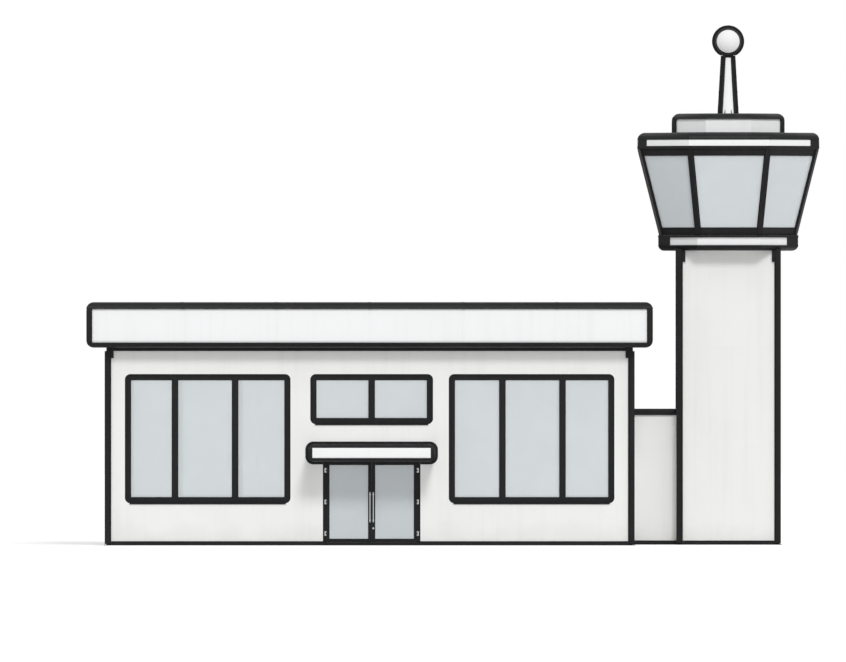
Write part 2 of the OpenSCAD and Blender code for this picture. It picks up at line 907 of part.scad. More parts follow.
// Ball with a flat seat as wide as the mast's head
module radome() {
  color("white") at_tower() translate([0, 0, mast_z + mast_h]) difference() {
    translate([0, 0, ball_seat]) sphere(d = ball_d);
    translate([-ball_d / 2, -ball_d / 2, -ball_d]) cube(ball_d);
  }
}

hall_floor();
front_wall_left();
front_wall_right();
front_wall_over_door();
entrance_piers();
back_wall();
left_wall();
right_wall();
hall_corner_posts();
wall_head_strip();
ceiling();
roof_deck();
fascia_front_back();
fascia_ends();
front_window_frames();
front_window_glass();
upper_window_frame();
upper_window_glass();
back_window_frames();
back_window_glass();
end_window_frame();
end_window_glass();
door_frame();
door_hinges();
left_door_leaf();
left_door_glass();
left_door_pulls();
right_door_leaf();
right_door_glass();
right_door_pulls();
canopy();
link_floor();
link_walls();
link_roof();
tower_floor();
tower_front_wall();
tower_back_wall();
tower_left_wall();
tower_right_wall();
tower_corner_posts();
cab_floor();
cab_posts();
cab_rails();
cab_glass();
cab_roof();
roof_cap();
mast();
radome();
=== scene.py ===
# %% [markdown]
# # A small airport terminal and its control tower
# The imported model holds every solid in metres: a flat-roofed hall, a short link and a tower with a
# glazed cab. Walls, frames, doors and glass are right as they are. What a building gets last is made
# here: cladding, copings, seals, bolts and all the finishes.

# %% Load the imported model
import json
import math

import bmesh
import bpy
from mathutils import Matrix, Vector


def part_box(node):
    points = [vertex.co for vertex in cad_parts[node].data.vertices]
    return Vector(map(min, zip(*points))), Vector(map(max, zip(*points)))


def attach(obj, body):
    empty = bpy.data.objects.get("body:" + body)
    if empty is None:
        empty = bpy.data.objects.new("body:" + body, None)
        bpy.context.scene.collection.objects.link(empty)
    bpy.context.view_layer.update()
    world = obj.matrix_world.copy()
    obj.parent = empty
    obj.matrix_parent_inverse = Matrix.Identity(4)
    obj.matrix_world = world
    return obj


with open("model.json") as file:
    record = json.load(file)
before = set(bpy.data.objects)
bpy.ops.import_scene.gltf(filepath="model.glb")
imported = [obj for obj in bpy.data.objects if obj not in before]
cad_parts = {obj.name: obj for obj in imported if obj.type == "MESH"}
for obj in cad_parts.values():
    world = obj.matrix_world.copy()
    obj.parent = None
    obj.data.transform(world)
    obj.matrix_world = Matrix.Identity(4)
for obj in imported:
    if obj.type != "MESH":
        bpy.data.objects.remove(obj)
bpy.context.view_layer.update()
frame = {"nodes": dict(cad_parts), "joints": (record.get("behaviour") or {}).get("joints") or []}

# %% [markdown]
# Every piece takes its place from the solids, so nothing is fitted by eye. The two helpers below give
# the box round a few points and the box round several nodes, and the lines after them name the planes
# that the rest refers to.

# %% Find the main planes of the building
def box_of(points):
    """Lowest and highest corner of the box round some points."""
    low = Vector([min(point[axis] for point in points) for axis in range(3)])
    high = Vector([max(point[axis] for point in points) for axis in range(3)])
    return low, high


def span(*nodes):
    """Lowest and highest corner of several CAD nodes together."""
    return box_of([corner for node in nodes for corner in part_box(node)])


hall_low, hall_high = span("front_wall_left", "front_wall_right", "back_wall")
roof_low, roof_high = span("fascia_front_back", "fascia_ends")
link_low, link_high = span("link_floor", "link_walls", "link_roof")
tower_low, tower_high = span("tower_floor", "tower_front_wall", "tower_back_wall")
canopy_low, canopy_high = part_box("canopy")
eaves_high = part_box("cab_roof")[1]
cap_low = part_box("roof_cap")[0]
mast_low, mast_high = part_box("mast")
ball_low, ball_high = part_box("radome")
tower_x = (tower_low.x + tower_high.x) / 2
tower_y = (tower_low.y + tower_high.y) / 2
print("hall", [round(v, 2) for v in hall_high - hall_low], "tower top", round(tower_high.z, 2))

# %% [markdown]
# The building is white with near-black metal, like a drawing in ink. Its finishes are paint, render,
# powder coat, membrane and glass. They could be painted pictures wrapped round each piece, but a
# picture needs an unwrapped mesh and goes soft close up. Noise that is worked out at every point
# needs neither, so each finish is one Principled shader fed by noise.
#
# The same few effects turn up in all of them, so each effect is a node group, made once and placed
# with its own values: fine grain, slow patches, rain streaks, settled dust and the splashed foot of
# a wall. Their noise reads object coordinates, so a door keeps its grain as it swings. The four
# helpers below keep the node code short.

# %% Helpers for shader nodes
def add_node(tree, kind, inputs=None, **settings):
    """Adds a shader node, sets its options, and joins or sets each named or numbered input."""
    made = tree.nodes.new(kind)
    for key, value in settings.items():
        setattr(made, key, value)
    for key, value in (inputs or {}).items():
        if isinstance(value, bpy.types.NodeSocket):
            tree.links.new(value, made.inputs[key])
        else:
            made.inputs[key].default_value = value
    return made


def new_group(name, inputs, output):
    """Starts a node group with named number inputs and one named output."""
    group = bpy.data.node_groups.new(name, "ShaderNodeTree")
    for label, value in inputs.items():
        socket = group.interface.new_socket(name=label, in_out="INPUT", socket_type="NodeSocketFloat")
        socket.default_value = value
    group.interface.new_socket(name=output, in_out="OUTPUT", socket_type="NodeSocketFloat")
    return group, group.nodes.new("NodeGroupInput"), group.nodes.new("NodeGroupOutput")


def use_group(tree, group, **values):
    """Places a group in a material with its own values."""
    made = tree.nodes.new("ShaderNodeGroup")
    made.node_tree = group
    for label, value in values.items():
        made.inputs[label].default_value = value
    return made


def mix_colours(tree, factor, first, second):
    """Colour between two others. A mix node's colours are its inputs 6 and 7 and its output 2."""
    made = add_node(tree, "ShaderNodeMix", {0: factor, 6: first, 7: second}, data_type="RGBA")
    return made.outputs[2]


print("materials before the first finish:", len(bpy.data.materials))

# %% [markdown]
# Grain is the finest thing that a surface shows: sand in render, the orange skin of powder coat.
# It is one noise texture. Its height goes to a bump and, at a small strength, to the roughness, so
# highlights break up the way they do on a real wall.

# %% Group for fine grain
grain, grain_in, grain_out = new_group("fine_grain", {"Scale": 100.0, "Roughness": 0.6}, "Height")
grain_place = add_node(grain, "ShaderNodeTexCoord")
grain_noise = add_node(
    grain,
    "ShaderNodeTexNoise",
    {
        "Vector": grain_place.outputs["Object"],
        "Scale": grain_in.outputs["Scale"],
        "Roughness": grain_in.outputs["Roughness"],
        "Detail": 5.0,
    },
)
grain.links.new(grain_noise.outputs["Fac"], grain_out.inputs["Height"])
print("group", grain.name)

# %% [markdown]
# Large surfaces are never one even tone. Slow patches, a few metres across, stand for uneven drying
# and weather. A second noise at a low scale gives them, and a contrast value says how clear they are.

# %% Group for slow patches
patches, patches_in, patches_out = new_group("slow_patches", {"Scale": 0.6, "Contrast": 1.0}, "Mask")
patches_place = add_node(patches, "ShaderNodeTexCoord")
patches_noise = add_node(
    patches,
    "ShaderNodeTexNoise",
    {"Vector": patches_place.outputs["Object"], "Scale": patches_in.outputs["Scale"], "Detail": 3.0},
)
patches_centred = add_node(
    patches, "ShaderNodeMath", {0: patches_noise.outputs["Fac"], 1: 0.45}, operation="SUBTRACT"
)
patches_mask = add_node(
    patches,
    "ShaderNodeMath",
    {0: patches_centred.outputs[0], 1: patches_in.outputs["Contrast"]},
    operation="MULTIPLY",
    use_clamp=True,
)
patches.links.new(patches_mask.outputs[0], patches_out.inputs["Mask"])
print("group", patches.name)

# %% [markdown]
# Rain leaves streaks that run straight down. The same noise becomes a streak when its space is
# squeezed: many changes across, hardly any downwards. Multiplying the coordinates does that.

# %% Group for rain streaks
streaks, streaks_in, streaks_out = new_group("rain_streaks", {"Across": 7.0, "Down": 0.22}, "Mask")
streaks_place = add_node(streaks, "ShaderNodeTexCoord")
streaks_scale = add_node(
    streaks,
    "ShaderNodeCombineXYZ",
    {"X": streaks_in.outputs["Across"], "Y": streaks_in.outputs["Across"], "Z": streaks_in.outputs["Down"]},
)
streaks_stretch = add_node(
    streaks,
    "ShaderNodeVectorMath",
    {0: streaks_place.outputs["Object"], 1: streaks_scale.outputs[0]},
    operation="MULTIPLY",
)
streaks_noise = add_node(
    streaks, "ShaderNodeTexNoise", {"Vector": streaks_stretch.outputs[0], "Scale": 1.0, "Detail": 4.0}
)
streaks_mask = add_node(
    streaks,
    "ShaderNodeMapRange",
    {"Value": streaks_noise.outputs["Fac"], "From Min": 0.5, "From Max": 0.78},
)
streaks.links.new(streaks_mask.outputs["Result"], streaks_out.inputs["Mask"])
print("group", streaks.name)

# %% [markdown]
# Dust settles on what faces up: copings, sills, the tops of bolts. The upward part of the surface
# normal says how much, and a noise breaks it up, because wind sweeps some of it away.

# %% Group for settled dust
settled, _, settled_out = new_group("settled_dust", {}, "Mask")
settled_place = add_node(settled, "ShaderNodeNewGeometry")
settled_parts = add_node(settled, "ShaderNodeSeparateXYZ", {0: settled_place.outputs["Normal"]})
settled_up = add_node(
    settled,
    "ShaderNodeMapRange",
    {"Value": settled_parts.outputs["Z"], "From Min": 0.35, "From Max": 0.95},
)
settled_noise = use_group(settled, patches, Scale=1.9, Contrast=3.0)
settled_mask = add_node(
    settled,
    "ShaderNodeMath",
    {0: settled_up.outputs["Result"], 1: settled_noise.outputs[0]},
    operation="MULTIPLY",
)
settled.links.new(settled_mask.outputs[0], settled_out.inputs["Mask"])
print("group", settled.name)

# %% [markdown]
# Rain that hits the ground splashes the lowest half metre of a wall. The mask fades with height, and
# the height is first shifted by noise, so the grime ends in an uneven edge and not in a line.

# %% Group for the splashed foot of a wall
splashed, _, splashed_out = new_group("splashed_foot", {}, "Mask")
splashed_place = add_node(splashed, "ShaderNodeTexCoord")
splashed_parts = add_node(splashed, "ShaderNodeSeparateXYZ", {0: splashed_place.outputs["Object"]})
splashed_noise = use_group(splashed, grain, Scale=1.4)
splashed_height = add_node(
    splashed,
    "ShaderNodeMath",
    {0: splashed_noise.outputs[0], 1: 0.9, 2: splashed_parts.outputs["Z"]},
    operation="MULTIPLY_ADD",
)
splashed_mask = add_node(
    splashed,
    "ShaderNodeMapRange",
    {"Value": splashed_height.outputs[0], "From Min": 0.35, "From Max": 1.15, "To Min": 1.0, "To Max": 0.0},
)
splashed.links.new(splashed_mask.outputs["Result"], splashed_out.inputs["Mask"])
print("group", splashed.name)

# %% [markdown]
# One function then makes every opaque finish. The clean colour drifts towards a second, dusty one
# where the masks add up, the roughness follows the grain, and a bump gives the surface its tooth:
# coarse for render, very fine for powder coat. Values that are the same all over, such as how
# metallic it is, are set on the shader's own sockets, because an export can only read them there.

# %% Function for an opaque finish
def finish(
    name,
    clean,
    dusty,
    rough,
    grain_scale,
    depth,
    patch,
    streak=0.3,
    settle=0.35,
    splash=0.0,
    metallic=0.0,
    gloss=0.5,
):
    """Material with grain, patches, streaks and dust round one Principled shader."""
    material = bpy.data.materials.new(name)
    material.use_nodes = True
    tree = material.node_tree
    shader = tree.nodes["Principled BSDF"]
    shader.inputs["Metallic"].default_value = metallic
    shader.inputs["Specular IOR Level"].default_value = gloss
    fine = use_group(tree, grain, Scale=grain_scale)
    dust = use_group(tree, patches, Contrast=patch * 2).outputs[0]
    for group, weight in ((streaks, streak), (settled, settle), (splashed, splash)):
        if weight > 0:
            part = use_group(tree, group)
            parts = {0: part.outputs[0], 1: weight, 2: dust}
            total = add_node(tree, "ShaderNodeMath", parts, operation="MULTIPLY_ADD", use_clamp=True)
            dust = total.outputs[0]
    colour = mix_colours(tree, dust, (*clean, 1), (*dusty, 1))
    sheen = add_node(
        tree,
        "ShaderNodeMapRange",
        {"Value": fine.outputs[0], "To Min": rough - 0.07, "To Max": rough + 0.07},
    )
    bump = add_node(
        tree, "ShaderNodeBump", {"Height": fine.outputs[0], "Distance": depth, "Strength": 0.6}
    )
    tree.links.new(colour, shader.inputs["Base Color"])
    tree.links.new(sheen.outputs["Result"], shader.inputs["Roughness"])
    tree.links.new(bump.outputs["Normal"], shader.inputs["Normal"])
    return material


print("effects to mix:", [group.name for group in bpy.data.node_groups])

# %% [markdown]
# The finishes themselves. White render is coarse and dull, white sheet metal is smooth with a soft
# shine, and the near-black metal is powder coated. Each call gives the clean and the dusty colour
# first and then names what it sets. Colours are linear values: 0.86 is a clean white paint, and 0.006
# is a matt black powder coat. A white above 0.9 would leave no room for highlights.

# %% Make the white and black finishes
white_render = finish(
    "white_render", (0.86, 0.86, 0.85), (0.74, 0.735, 0.72),
    rough=0.86, grain_scale=90.0, depth=0.004, patch=0.35, streak=0.22, splash=0.75,
)
white_sheet = finish(
    "white_sheet", (0.88, 0.885, 0.89), (0.77, 0.775, 0.77),
    rough=0.38, grain_scale=220.0, depth=0.0003, patch=0.25, streak=0.25,
)
dark_coat = finish(
    "dark_coat", (0.006, 0.006, 0.007), (0.02, 0.02, 0.021),
    rough=0.5, grain_scale=420.0, depth=0.0002, patch=0.3, settle=0.7, gloss=0.2,
)
rubber = finish(
    "seal_rubber", (0.007, 0.007, 0.007), (0.018, 0.018, 0.018),
    rough=0.65, grain_scale=300.0, depth=0.0003, patch=0.2, gloss=0.2,
)
soffit_board = finish(
    "soffit_board", (0.86, 0.86, 0.86), (0.78, 0.78, 0.77),
    rough=0.6, grain_scale=160.0, depth=0.0004, patch=0.2,
)
shell = finish(
    "radome_shell", (0.86, 0.86, 0.86), (0.77, 0.77, 0.765),
    rough=0.6, grain_scale=120.0, depth=0.0002, patch=0.3, gloss=0.25,
)
print("white and black finishes:", len(bpy.data.materials))

# %% [markdown]
# Concrete, roof membrane and steel are the only greys. Concrete and membrane get strong patches,
# because both take up water unevenly. Steel is the one metal without paint, so it is fully metallic.

# %% Make the grey finishes
concrete = finish(
    "pale_concrete", (0.62, 0.62, 0.61), (0.47, 0.465, 0.45),
    rough=0.7, grain_scale=45.0, depth=0.0015, patch=0.6,
)
membrane = finish(
    "roof_membrane", (0.36, 0.365, 0.37), (0.25, 0.25, 0.245),
    rough=0.75, grain_scale=60.0, depth=0.001, patch=0.9,
)
steel = finish(
    "brushed_steel", (0.55, 0.55, 0.56), (0.42, 0.42, 0.43),
    rough=0.3, grain_scale=500.0, depth=0.0001, patch=0.3, metallic=1.0,
)
print("all opaque finishes:", len(bpy.data.materials))

# %% [markdown]
# Window and cab frames are two-coloured, as many real ones are: dark outside and white inside, so a
# room looks bright through its glass. The frames could be cut into two pieces, but they are single
# solids here and stay whole, so the shader decides. A point of a hall frame is indoors when it lies
# deeper in the building than the middle of the glass.

# %% Group that marks points inside the hall
def hall_inside_group(depth):
    """Mask that is 1 where a point lies deeper in the hall than depth."""
    group, _, output = new_group("inside_the_hall", {}, "Mask")
    middle = (hall_low + hall_high) / 2
    half = (hall_high - hall_low) / 2
    place = add_node(group, "ShaderNodeTexCoord")
    centred = add_node(
        group, "ShaderNodeVectorMath", {0: place.outputs["Object"], 1: middle}, operation="SUBTRACT"
    )
    away = add_node(group, "ShaderNodeVectorMath", {0: centred.outputs[0]}, operation="ABSOLUTE")
    parts = add_node(group, "ShaderNodeSeparateXYZ", {0: away.outputs[0]})
    along = add_node(
        group, "ShaderNodeMath", {0: parts.outputs["X"], 1: half.x - depth}, operation="LESS_THAN"
    )
    across = add_node(
        group, "ShaderNodeMath", {0: parts.outputs["Y"], 1: half.y - depth}, operation="LESS_THAN"
    )
    both = add_node(
        group, "ShaderNodeMath", {0: along.outputs[0], 1: across.outputs[0]}, operation="MULTIPLY"
    )
    group.links.new(both.outputs[0], output.inputs["Mask"])
    return group


GLASS_DEPTH = 0.125
inside_hall = hall_inside_group(GLASS_DEPTH)
print("group", inside_hall.name)

# %% [markdown]
# The cab's frames lean outwards, so a depth from its walls would have to lean too. Its posts and rails
# have flat faces, and that gives a simpler test: a face that looks at the cab's middle is indoors.

# %% Group that marks faces inside the cab
def cab_inside_group():
    """Mask that is 1 on faces that look at the cab's middle."""
    group, _, output = new_group("inside_the_cab", {}, "Mask")
    place = add_node(group, "ShaderNodeNewGeometry")
    middle = Vector((tower_x, tower_y, 0))
    centred = add_node(
        group, "ShaderNodeVectorMath", {0: place.outputs["Position"], 1: middle}, operation="SUBTRACT"
    )
    level = add_node(
        group, "ShaderNodeVectorMath", {0: centred.outputs[0], 1: (1, 1, 0)}, operation="MULTIPLY"
    )
    outwards = add_node(group, "ShaderNodeVectorMath", {0: level.outputs[0]}, operation="NORMALIZE")
    alike = add_node(
        group,
        "ShaderNodeVectorMath",
        {0: outwards.outputs[0], 1: place.outputs["True Normal"]},
        operation="DOT_PRODUCT",
    )
    inward = add_node(group, "ShaderNodeMath", {0: alike.outputs["Value"], 1: -0.5}, operation="LESS_THAN")
    group.links.new(inward.outputs[0], output.inputs["Mask"])
    return group


inside_cab = cab_inside_group()
print("group", inside_cab.name)

# %% [markdown]
# A two-coloured coat is the dark one with one more mix before the shader. Copying the material keeps
# its grain and dust.

# %% Make the two-coloured coats
def two_coloured(name, mask_group):
    """The dark coat with white where the mask is 1."""
    material = dark_coat.copy()
    material.name = name
    tree = material.node_tree
    shader = tree.nodes["Principled BSDF"]
    outside = shader.inputs["Base Color"].links[0].from_socket
    mask = use_group(tree, mask_group)
    colour = mix_colours(tree, mask.outputs[0], outside, (0.86, 0.86, 0.86, 1))
    tree.links.new(colour, shader.inputs["Base Color"])
    return material


hall_frame_coat = two_coloured("hall_frame_coat", inside_hall)
cab_frame_coat = two_coloured("cab_frame_coat", inside_cab)
print("two-coloured frames ready")

# %% [markdown]
# The glass is coated insulating glass, which looks pale from outside, partly because it lets the white
# room through. It could refract light, as a Transmission Weight of 1 makes it, but such glass keeps
# soft daylight out of the rooms and they would turn black. So the pane is see-through by its alpha
# instead. What isn't see-through is a pale matt colour: a painted reflection of the white sky, with
# dust haze that is heavier in patches.

# %% Make the glass
def make_glass(name, sky_reflection_tint, clear, most_reflection_and_dust):
    """Pale see-through glass: its pale colour is a painted reflection of the white sky with dust haze, and
    its alpha rises from the clear value in patches.
    """
    material = bpy.data.materials.new(name)
    material.use_nodes = True
    tree = material.node_tree
    shader = tree.nodes["Principled BSDF"]
    shader.inputs["Metallic"].default_value = 0.0
    shader.inputs["Transmission Weight"].default_value = 0.0
    shader.inputs["IOR"].default_value = 1.52
    # Painted reflection: the pale colour below, at about half alpha, stands for the white sky mirrored in
    # the pane, and its patches add dust haze.
    slow = use_group(tree, patches, Scale=0.35, Contrast=1.6)
    fine = use_group(tree, grain, Scale=1.3)
    alpha = add_node(
        tree, "ShaderNodeMapRange", {"Value": slow.outputs[0], "To Min": clear, "To Max": most_reflection_and_dust}
    )
    colour = mix_colours(tree, fine.outputs[0], (*sky_reflection_tint, 1), (0.86, 0.9, 0.92, 1))
    rough = add_node(
        tree, "ShaderNodeMapRange", {"Value": slow.outputs[0], "To Min": 0.02, "To Max": 0.08}
    )
    tree.links.new(colour, shader.inputs["Base Color"])
    tree.links.new(alpha.outputs["Result"], shader.inputs["Alpha"])
    tree.links.new(rough.outputs["Result"], shader.inputs["Roughness"])
    return material


# The pale colour and its alpha paint the sky's reflection, with some dust haze.
pale_glass = make_glass("pale_glass", (0.84, 0.9, 0.93), 0.5, 0.62)
print("glass ready")

# %% [markdown]
# Every solid keeps its shape and gets one of these finishes. The finish could be set node by node,
# but a table from finish to nodes is shorter and easier to check against the building.

# %% List the solids of each finish
FINISHES = {
    white_render: [
        "front_wall_left", "front_wall_right", "front_wall_over_door", "entrance_piers",
        "back_wall", "left_wall", "right_wall", "link_walls",
        "tower_front_wall", "tower_back_wall", "tower_left_wall", "tower_right_wall",
    ],
    white_sheet: [
        "fascia_front_back", "fascia_ends", "canopy", "link_roof",
        "cab_floor", "cab_roof", "roof_cap", "mast",
    ],
    dark_coat: [
        "hall_corner_posts", "tower_corner_posts", "wall_head_strip",
        "door_frame", "left_door_leaf", "right_door_leaf",
    ],
    hall_frame_coat: [
        "front_window_frames", "upper_window_frame", "back_window_frames", "end_window_frame",
    ],
    cab_frame_coat: ["cab_posts", "cab_rails"],
    pale_glass: [
        "front_window_glass", "upper_window_glass", "back_window_glass", "end_window_glass",
        "left_door_glass", "right_door_glass", "cab_glass",
    ],
    concrete: ["hall_floor", "link_floor", "tower_floor"],
    soffit_board: ["ceiling"],
    membrane: ["roof_deck"],
    shell: ["radome"],
    steel: ["door_hinges", "left_door_pulls", "right_door_pulls"],
}
print("finishes in use:", [material.name for material in FINISHES])

# %% [markdown]
# A solid wears what is in its material slots. The mesh stays as it came, and only the slots change.
# The count at the end stops the script if a solid was forgotten, so that none comes out plain.

# %% Give each solid its finish
for material, names in FINISHES.items():
    for name in names:
        slots = frame["nodes"][name].data.materials
        for index in range(len(slots)):
            slots[index] = material
dressed = sum(len(names) for names in FINISHES.values())
assert dressed == len(frame["nodes"]), "a solid has no finish"
print("solids with a finish:", dressed)

# %% [markdown]
# Trims, copings, seals and bolts are what tells a building from a block. They could be modelled with
# modifiers on curves, or by bevelling boxes, but folded metal has an exact profile, and that is
# easiest to write down as points. So a shape here is a pair of lists, its points and its faces.
# Two small functions join and move shapes. The table says which finish goes with each of the
# record's material slots.

# %% Helpers that join and move shapes
PIECE_FINISH = {
    "wall_render": white_render,
    "white_metal": white_sheet,
    "dark_metal": dark_coat,
    "roof_membrane": membrane,
    "soffit_panel": soffit_board,
    "steel": steel,
    "radome_shell": shell,
}


def merge(shapes):
    """One shape from several."""
    points, faces = [], []
    for shape_points, shape_faces in shapes:
        start = len(points)
        points += shape_points
        faces += [[start + index for index in face] for face in shape_faces]
    return points, faces


def moved(shape, matrix):
    """A shape after a move or a turn."""
    return [matrix @ Vector(point) for point in shape[0]], shape[1]


print("slots with a finish:", list(PIECE_FINISH))

# %% [markdown]
# Only make_piece turns shapes into an object, so every piece gets its finish, its slot and the body it
# rides on in the same way. It also turns all faces outwards, and shades edges smooth unless they are
# sharper than 35 degrees, so a round edge looks round and a fold looks crisp.

# %% Function that makes a piece
SMOOTH_BELOW = math.radians(35)


def make_piece(name, shapes, slot, body="building", material=None):
    """Makes one object from shapes, gives it a finish and lets it ride on a body.

    The slot names the record's material, and the finish is that slot's unless another is given.
    """
    points, faces = merge(shapes)
    mesh = bpy.data.meshes.new(name)
    mesh.from_pydata([Vector(point) for point in points], [], faces)
    build = bmesh.new()
    build.from_mesh(mesh)
    bmesh.ops.recalc_face_normals(build, faces=build.faces)
    for face in build.faces:
        face.smooth = True
    for edge in build.edges:
        edge.smooth = edge.calc_face_angle(math.pi) < SMOOTH_BELOW
    build.to_mesh(mesh)
    build.free()
    mesh.materials.append(material or PIECE_FINISH[slot])
    piece = bpy.data.objects.new(name, mesh)
    bpy.context.scene.collection.objects.link(piece)
    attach(piece, body)
    print(name, len(mesh.polygons), "faces")
    return piece


# %% [markdown]
# A gutter, a trim or a seal is one profile all along. Sweeping carries the profile along a path of
# points and mitres it at the corners, like a joiner does: at a corner it stretches the profile along
# the line that halves the angle. Paths run anticlockwise seen from above, so "out" is outdoors.

# %% Helpers that carry a profile along a path
def outward(start, end):
    """Unit vector to the right of a run, which is the outside of an anticlockwise outline."""
    run = (Vector(end) - Vector(start)).normalized()
    return Vector((run.y, -run.x))


def sweep(path, profile, closed=False):
    """Carries a closed profile of (out, up) points along (x, y) points, mitred at every corner."""
    count = len(path)
    runs = count if closed else count - 1
    sides = [outward(path[i], path[(i + 1) % count]) for i in range(runs)]
    points = []
    for index, corner in enumerate(path):
        before = sides[index - 1] if closed or index else sides[0]
        after = sides[min(index, runs - 1)]
        reach = (before + after) / (1 + before.dot(after))
        points += [
            Vector((corner[0] + reach.x * out, corner[1] + reach.y * out, up)) for out, up in profile
        ]
    size = len(profile)
    faces = []
    for run in range(runs):
        here = run * size
        there = (run + 1) % count * size
        for k in range(size):
            after = (k + 1) % size
            faces.append([here + k, here + after, there + after, there + k])
    if not closed:
        faces.append(list(range(size)))
        faces.append(list(range(len(points) - size, len(points))))
    return points, faces


square = [(0, 0), (1, 0), (1, 1), (0, 1)]
print("faces of a square profile on a straight run:", len(sweep([(0, 0), (1, 0)], square)[1]))

# %% [markdown]
# Paths come from the building's own outlines. A trim may run right round an outline, along part of
# one side, or round one corner, and a profile may have to be raised to where it belongs. These four
# say that in words, so that the cells below read like a fitter's list.

# %% Helpers for outlines and profiles
def lifted(profile, height):
    """A profile raised by a height."""
    return [(out, up + height) for out, up in profile]


def rectangle(low, high, grow=0.0):
    """Outline of a box seen from above, anticlockwise from its front left corner."""
    return [
        (low.x - grow, low.y - grow),
        (high.x + grow, low.y - grow),
        (high.x + grow, high.y + grow),
        (low.x - grow, high.y + grow),
    ]


def stretch(outline, side, start, stop):
    """Two points on one side of an outline, start metres after its first corner and stop after it.

    A stop that isn't positive counts back from the side's far corner.
    """
    first = Vector(outline[side])
    run = Vector(outline[(side + 1) % len(outline)]) - first
    stop = stop if stop > 0 else run.length + stop
    along = run.normalized()
    return [first + along * start, first + along * stop]


def round_corner(outline, corner, before, after):
    """Three points that turn one corner of an outline, with a leg on each side of it."""
    here = Vector(outline[corner])
    back = (Vector(outline[corner - 1]) - here).normalized()
    ahead = (Vector(outline[(corner + 1) % len(outline)]) - here).normalized()
    return [here + back * before, here, here + ahead * after]


print("hall outline:", [(round(x, 2), round(y, 2)) for x, y in rectangle(hall_low, hall_high)])

# %% [markdown]
# The roof edge, the canopy and the cab's slabs all have rounded edges, and their sheet metal follows
# the curve at a small distance. Offsetting the mesh of the solid would do it, but would drag along
# every facet. It is cleaner to draw the edge as a line: flat, arc, flat, arc, flat.

# %% Helpers that draw a rounded edge
ARC_STEP = 7.5


def arc(out, up, radius, start, stop):
    """Points of an arc that falls from one angle to another."""
    steps = max(1, round((start - stop) / ARC_STEP))
    angles = [math.radians(start + (stop - start) * k / steps) for k in range(steps + 1)]
    return [(out + radius * math.cos(a), up + radius * math.sin(a)) for a in angles]


def edge_line(height, top_round, foot_round, lift, top_in, foot_in):
    """Line down the edge of a slab from its top face to its underside, at a lift off the surface."""
    line = [(-top_in, height + lift)]
    line += arc(-top_round, height - top_round, top_round + lift, 90, 0)
    line += arc(-foot_round, foot_round, foot_round + lift, 0, -90)
    line.append((-foot_in, -lift))
    return line


print("points on a quarter arc:", len(arc(0.0, 0.0, 1.0, 90, 0)))

# %% [markdown]
# A sheet covers only part of the edge. So the line is cut at two heights, and a second line, a
# sheet's thickness further out, closes it to a profile that can be swept.

# %% Helpers that cut a sheet from an edge
def between(line, low, high):
    """The part of a falling line between two heights."""

    def cut(first, second, level):
        share = (first[1] - level) / (first[1] - second[1])
        return (first[0] + (second[0] - first[0]) * share, level)

    kept = []
    for first, second in zip(line, line[1:]):
        if second[1] > high or first[1] < low:
            continue
        top = cut(first, second, high) if first[1] > high else first
        foot = cut(first, second, low) if second[1] < low else second
        if not kept or (Vector(kept[-1]) - Vector(top)).length > 1e-6:
            kept.append(top)
        if (Vector(kept[-1]) - Vector(foot)).length > 1e-6:
            kept.append(foot)
    return kept


def sheet(height, top_round, foot_round, lifts, low=-9.0, high=99.0, top_in=0.0, foot_in=0.0):
    """Closed profile of a sheet that follows a slab's edge between two heights."""
    top_in = max(top_in, top_round)
    foot_in = max(foot_in, foot_round)
    inner, outer = (
        between(edge_line(height, top_round, foot_round, lift, top_in, foot_in), low, high)
        for lift in lifts
    )
    return outer + inner[::-1]


print("points of a sheet round a whole edge:", len(sheet(1.0, 0.1, 0.1, (0.0, 0.01))))

# %% [markdown]
# Every such slab is measured once here: where its foot is, how high it is, and the radius of its upper
# and lower edge, from the points of its solid. edge_sheet then gives a sheet on any of them. With a
# rise, its top lies higher than the slab's, as a coping does on its packers.

# %% Measure the slabs and dress their edges
SAME_LEVEL = 0.0005


def edge_round(node, upper):
    """Radius of a slab's upper or lower edge, from the points of its flat top or underside."""
    low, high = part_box(node)
    level = high.z if upper else low.z
    flat = [v.co.y for v in frame["nodes"][node].data.vertices if abs(v.co.z - level) < SAME_LEVEL]
    return min(flat) - low.y


EDGES = {}
for node in ("fascia_front_back", "canopy", "link_roof", "cab_floor", "cab_roof", "roof_cap"):
    slab_low, slab_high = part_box(node)
    rounds = edge_round(node, True), edge_round(node, False)
    EDGES[node] = (slab_low.z, slab_high.z - slab_low.z, *rounds)
    print(node, "height and rounds", [round(v, 3) for v in EDGES[node][1:]])


def edge_sheet(node, lifts, low=None, high=None, top_in=0.0, foot_in=0.0, rise=0.0):
    """Profile of a sheet on a slab's edge. A negative height counts down from the slab's top."""
    foot, height, top_round, foot_round = EDGES[node]
    low, high = (
        limit if value is None else value + height * (value < 0)
        for value, limit in ((low, -9.0), (high, 99.0))
    )
    profile = sheet(height + rise, top_round, foot_round, lifts, low, high, top_in, foot_in)
    return lifted(profile, foot)


# %% [markdown]
# Not everything is a profile on a path. turned spins a line round an axis, as a lathe does, for caps,
# roses and collars. block is a box with bevelled edges, because no real edge is razor sharp, and a
# bevel is what catches the light on it.

# %% Helpers for turned parts and blocks
def turned(line, sides=24, closed=False):
    """Turns a line of (radius, height) points round the Z axis. Points on the axis close it."""
    points, rings = [], []
    for radius, height in line:
        start = len(points)
        if radius == 0:
            rings.append([start] * sides)
            points.append(Vector((0, 0, height)))
            continue
        rings.append(list(range(start, start + sides)))
        for k in range(sides):
            angle = 2 * math.pi * k / sides
            points.append(Vector((radius * math.cos(angle), radius * math.sin(angle), height)))
    pairs = list(zip(rings, rings[1:]))
    if closed:
        pairs.append((rings[-1], rings[0]))
    faces = []
    for low, high in pairs:
        for k in range(sides):
            after = (k + 1) % sides
            faces.append(list(dict.fromkeys([low[k], low[after], high[after], high[k]])))
    return points, faces


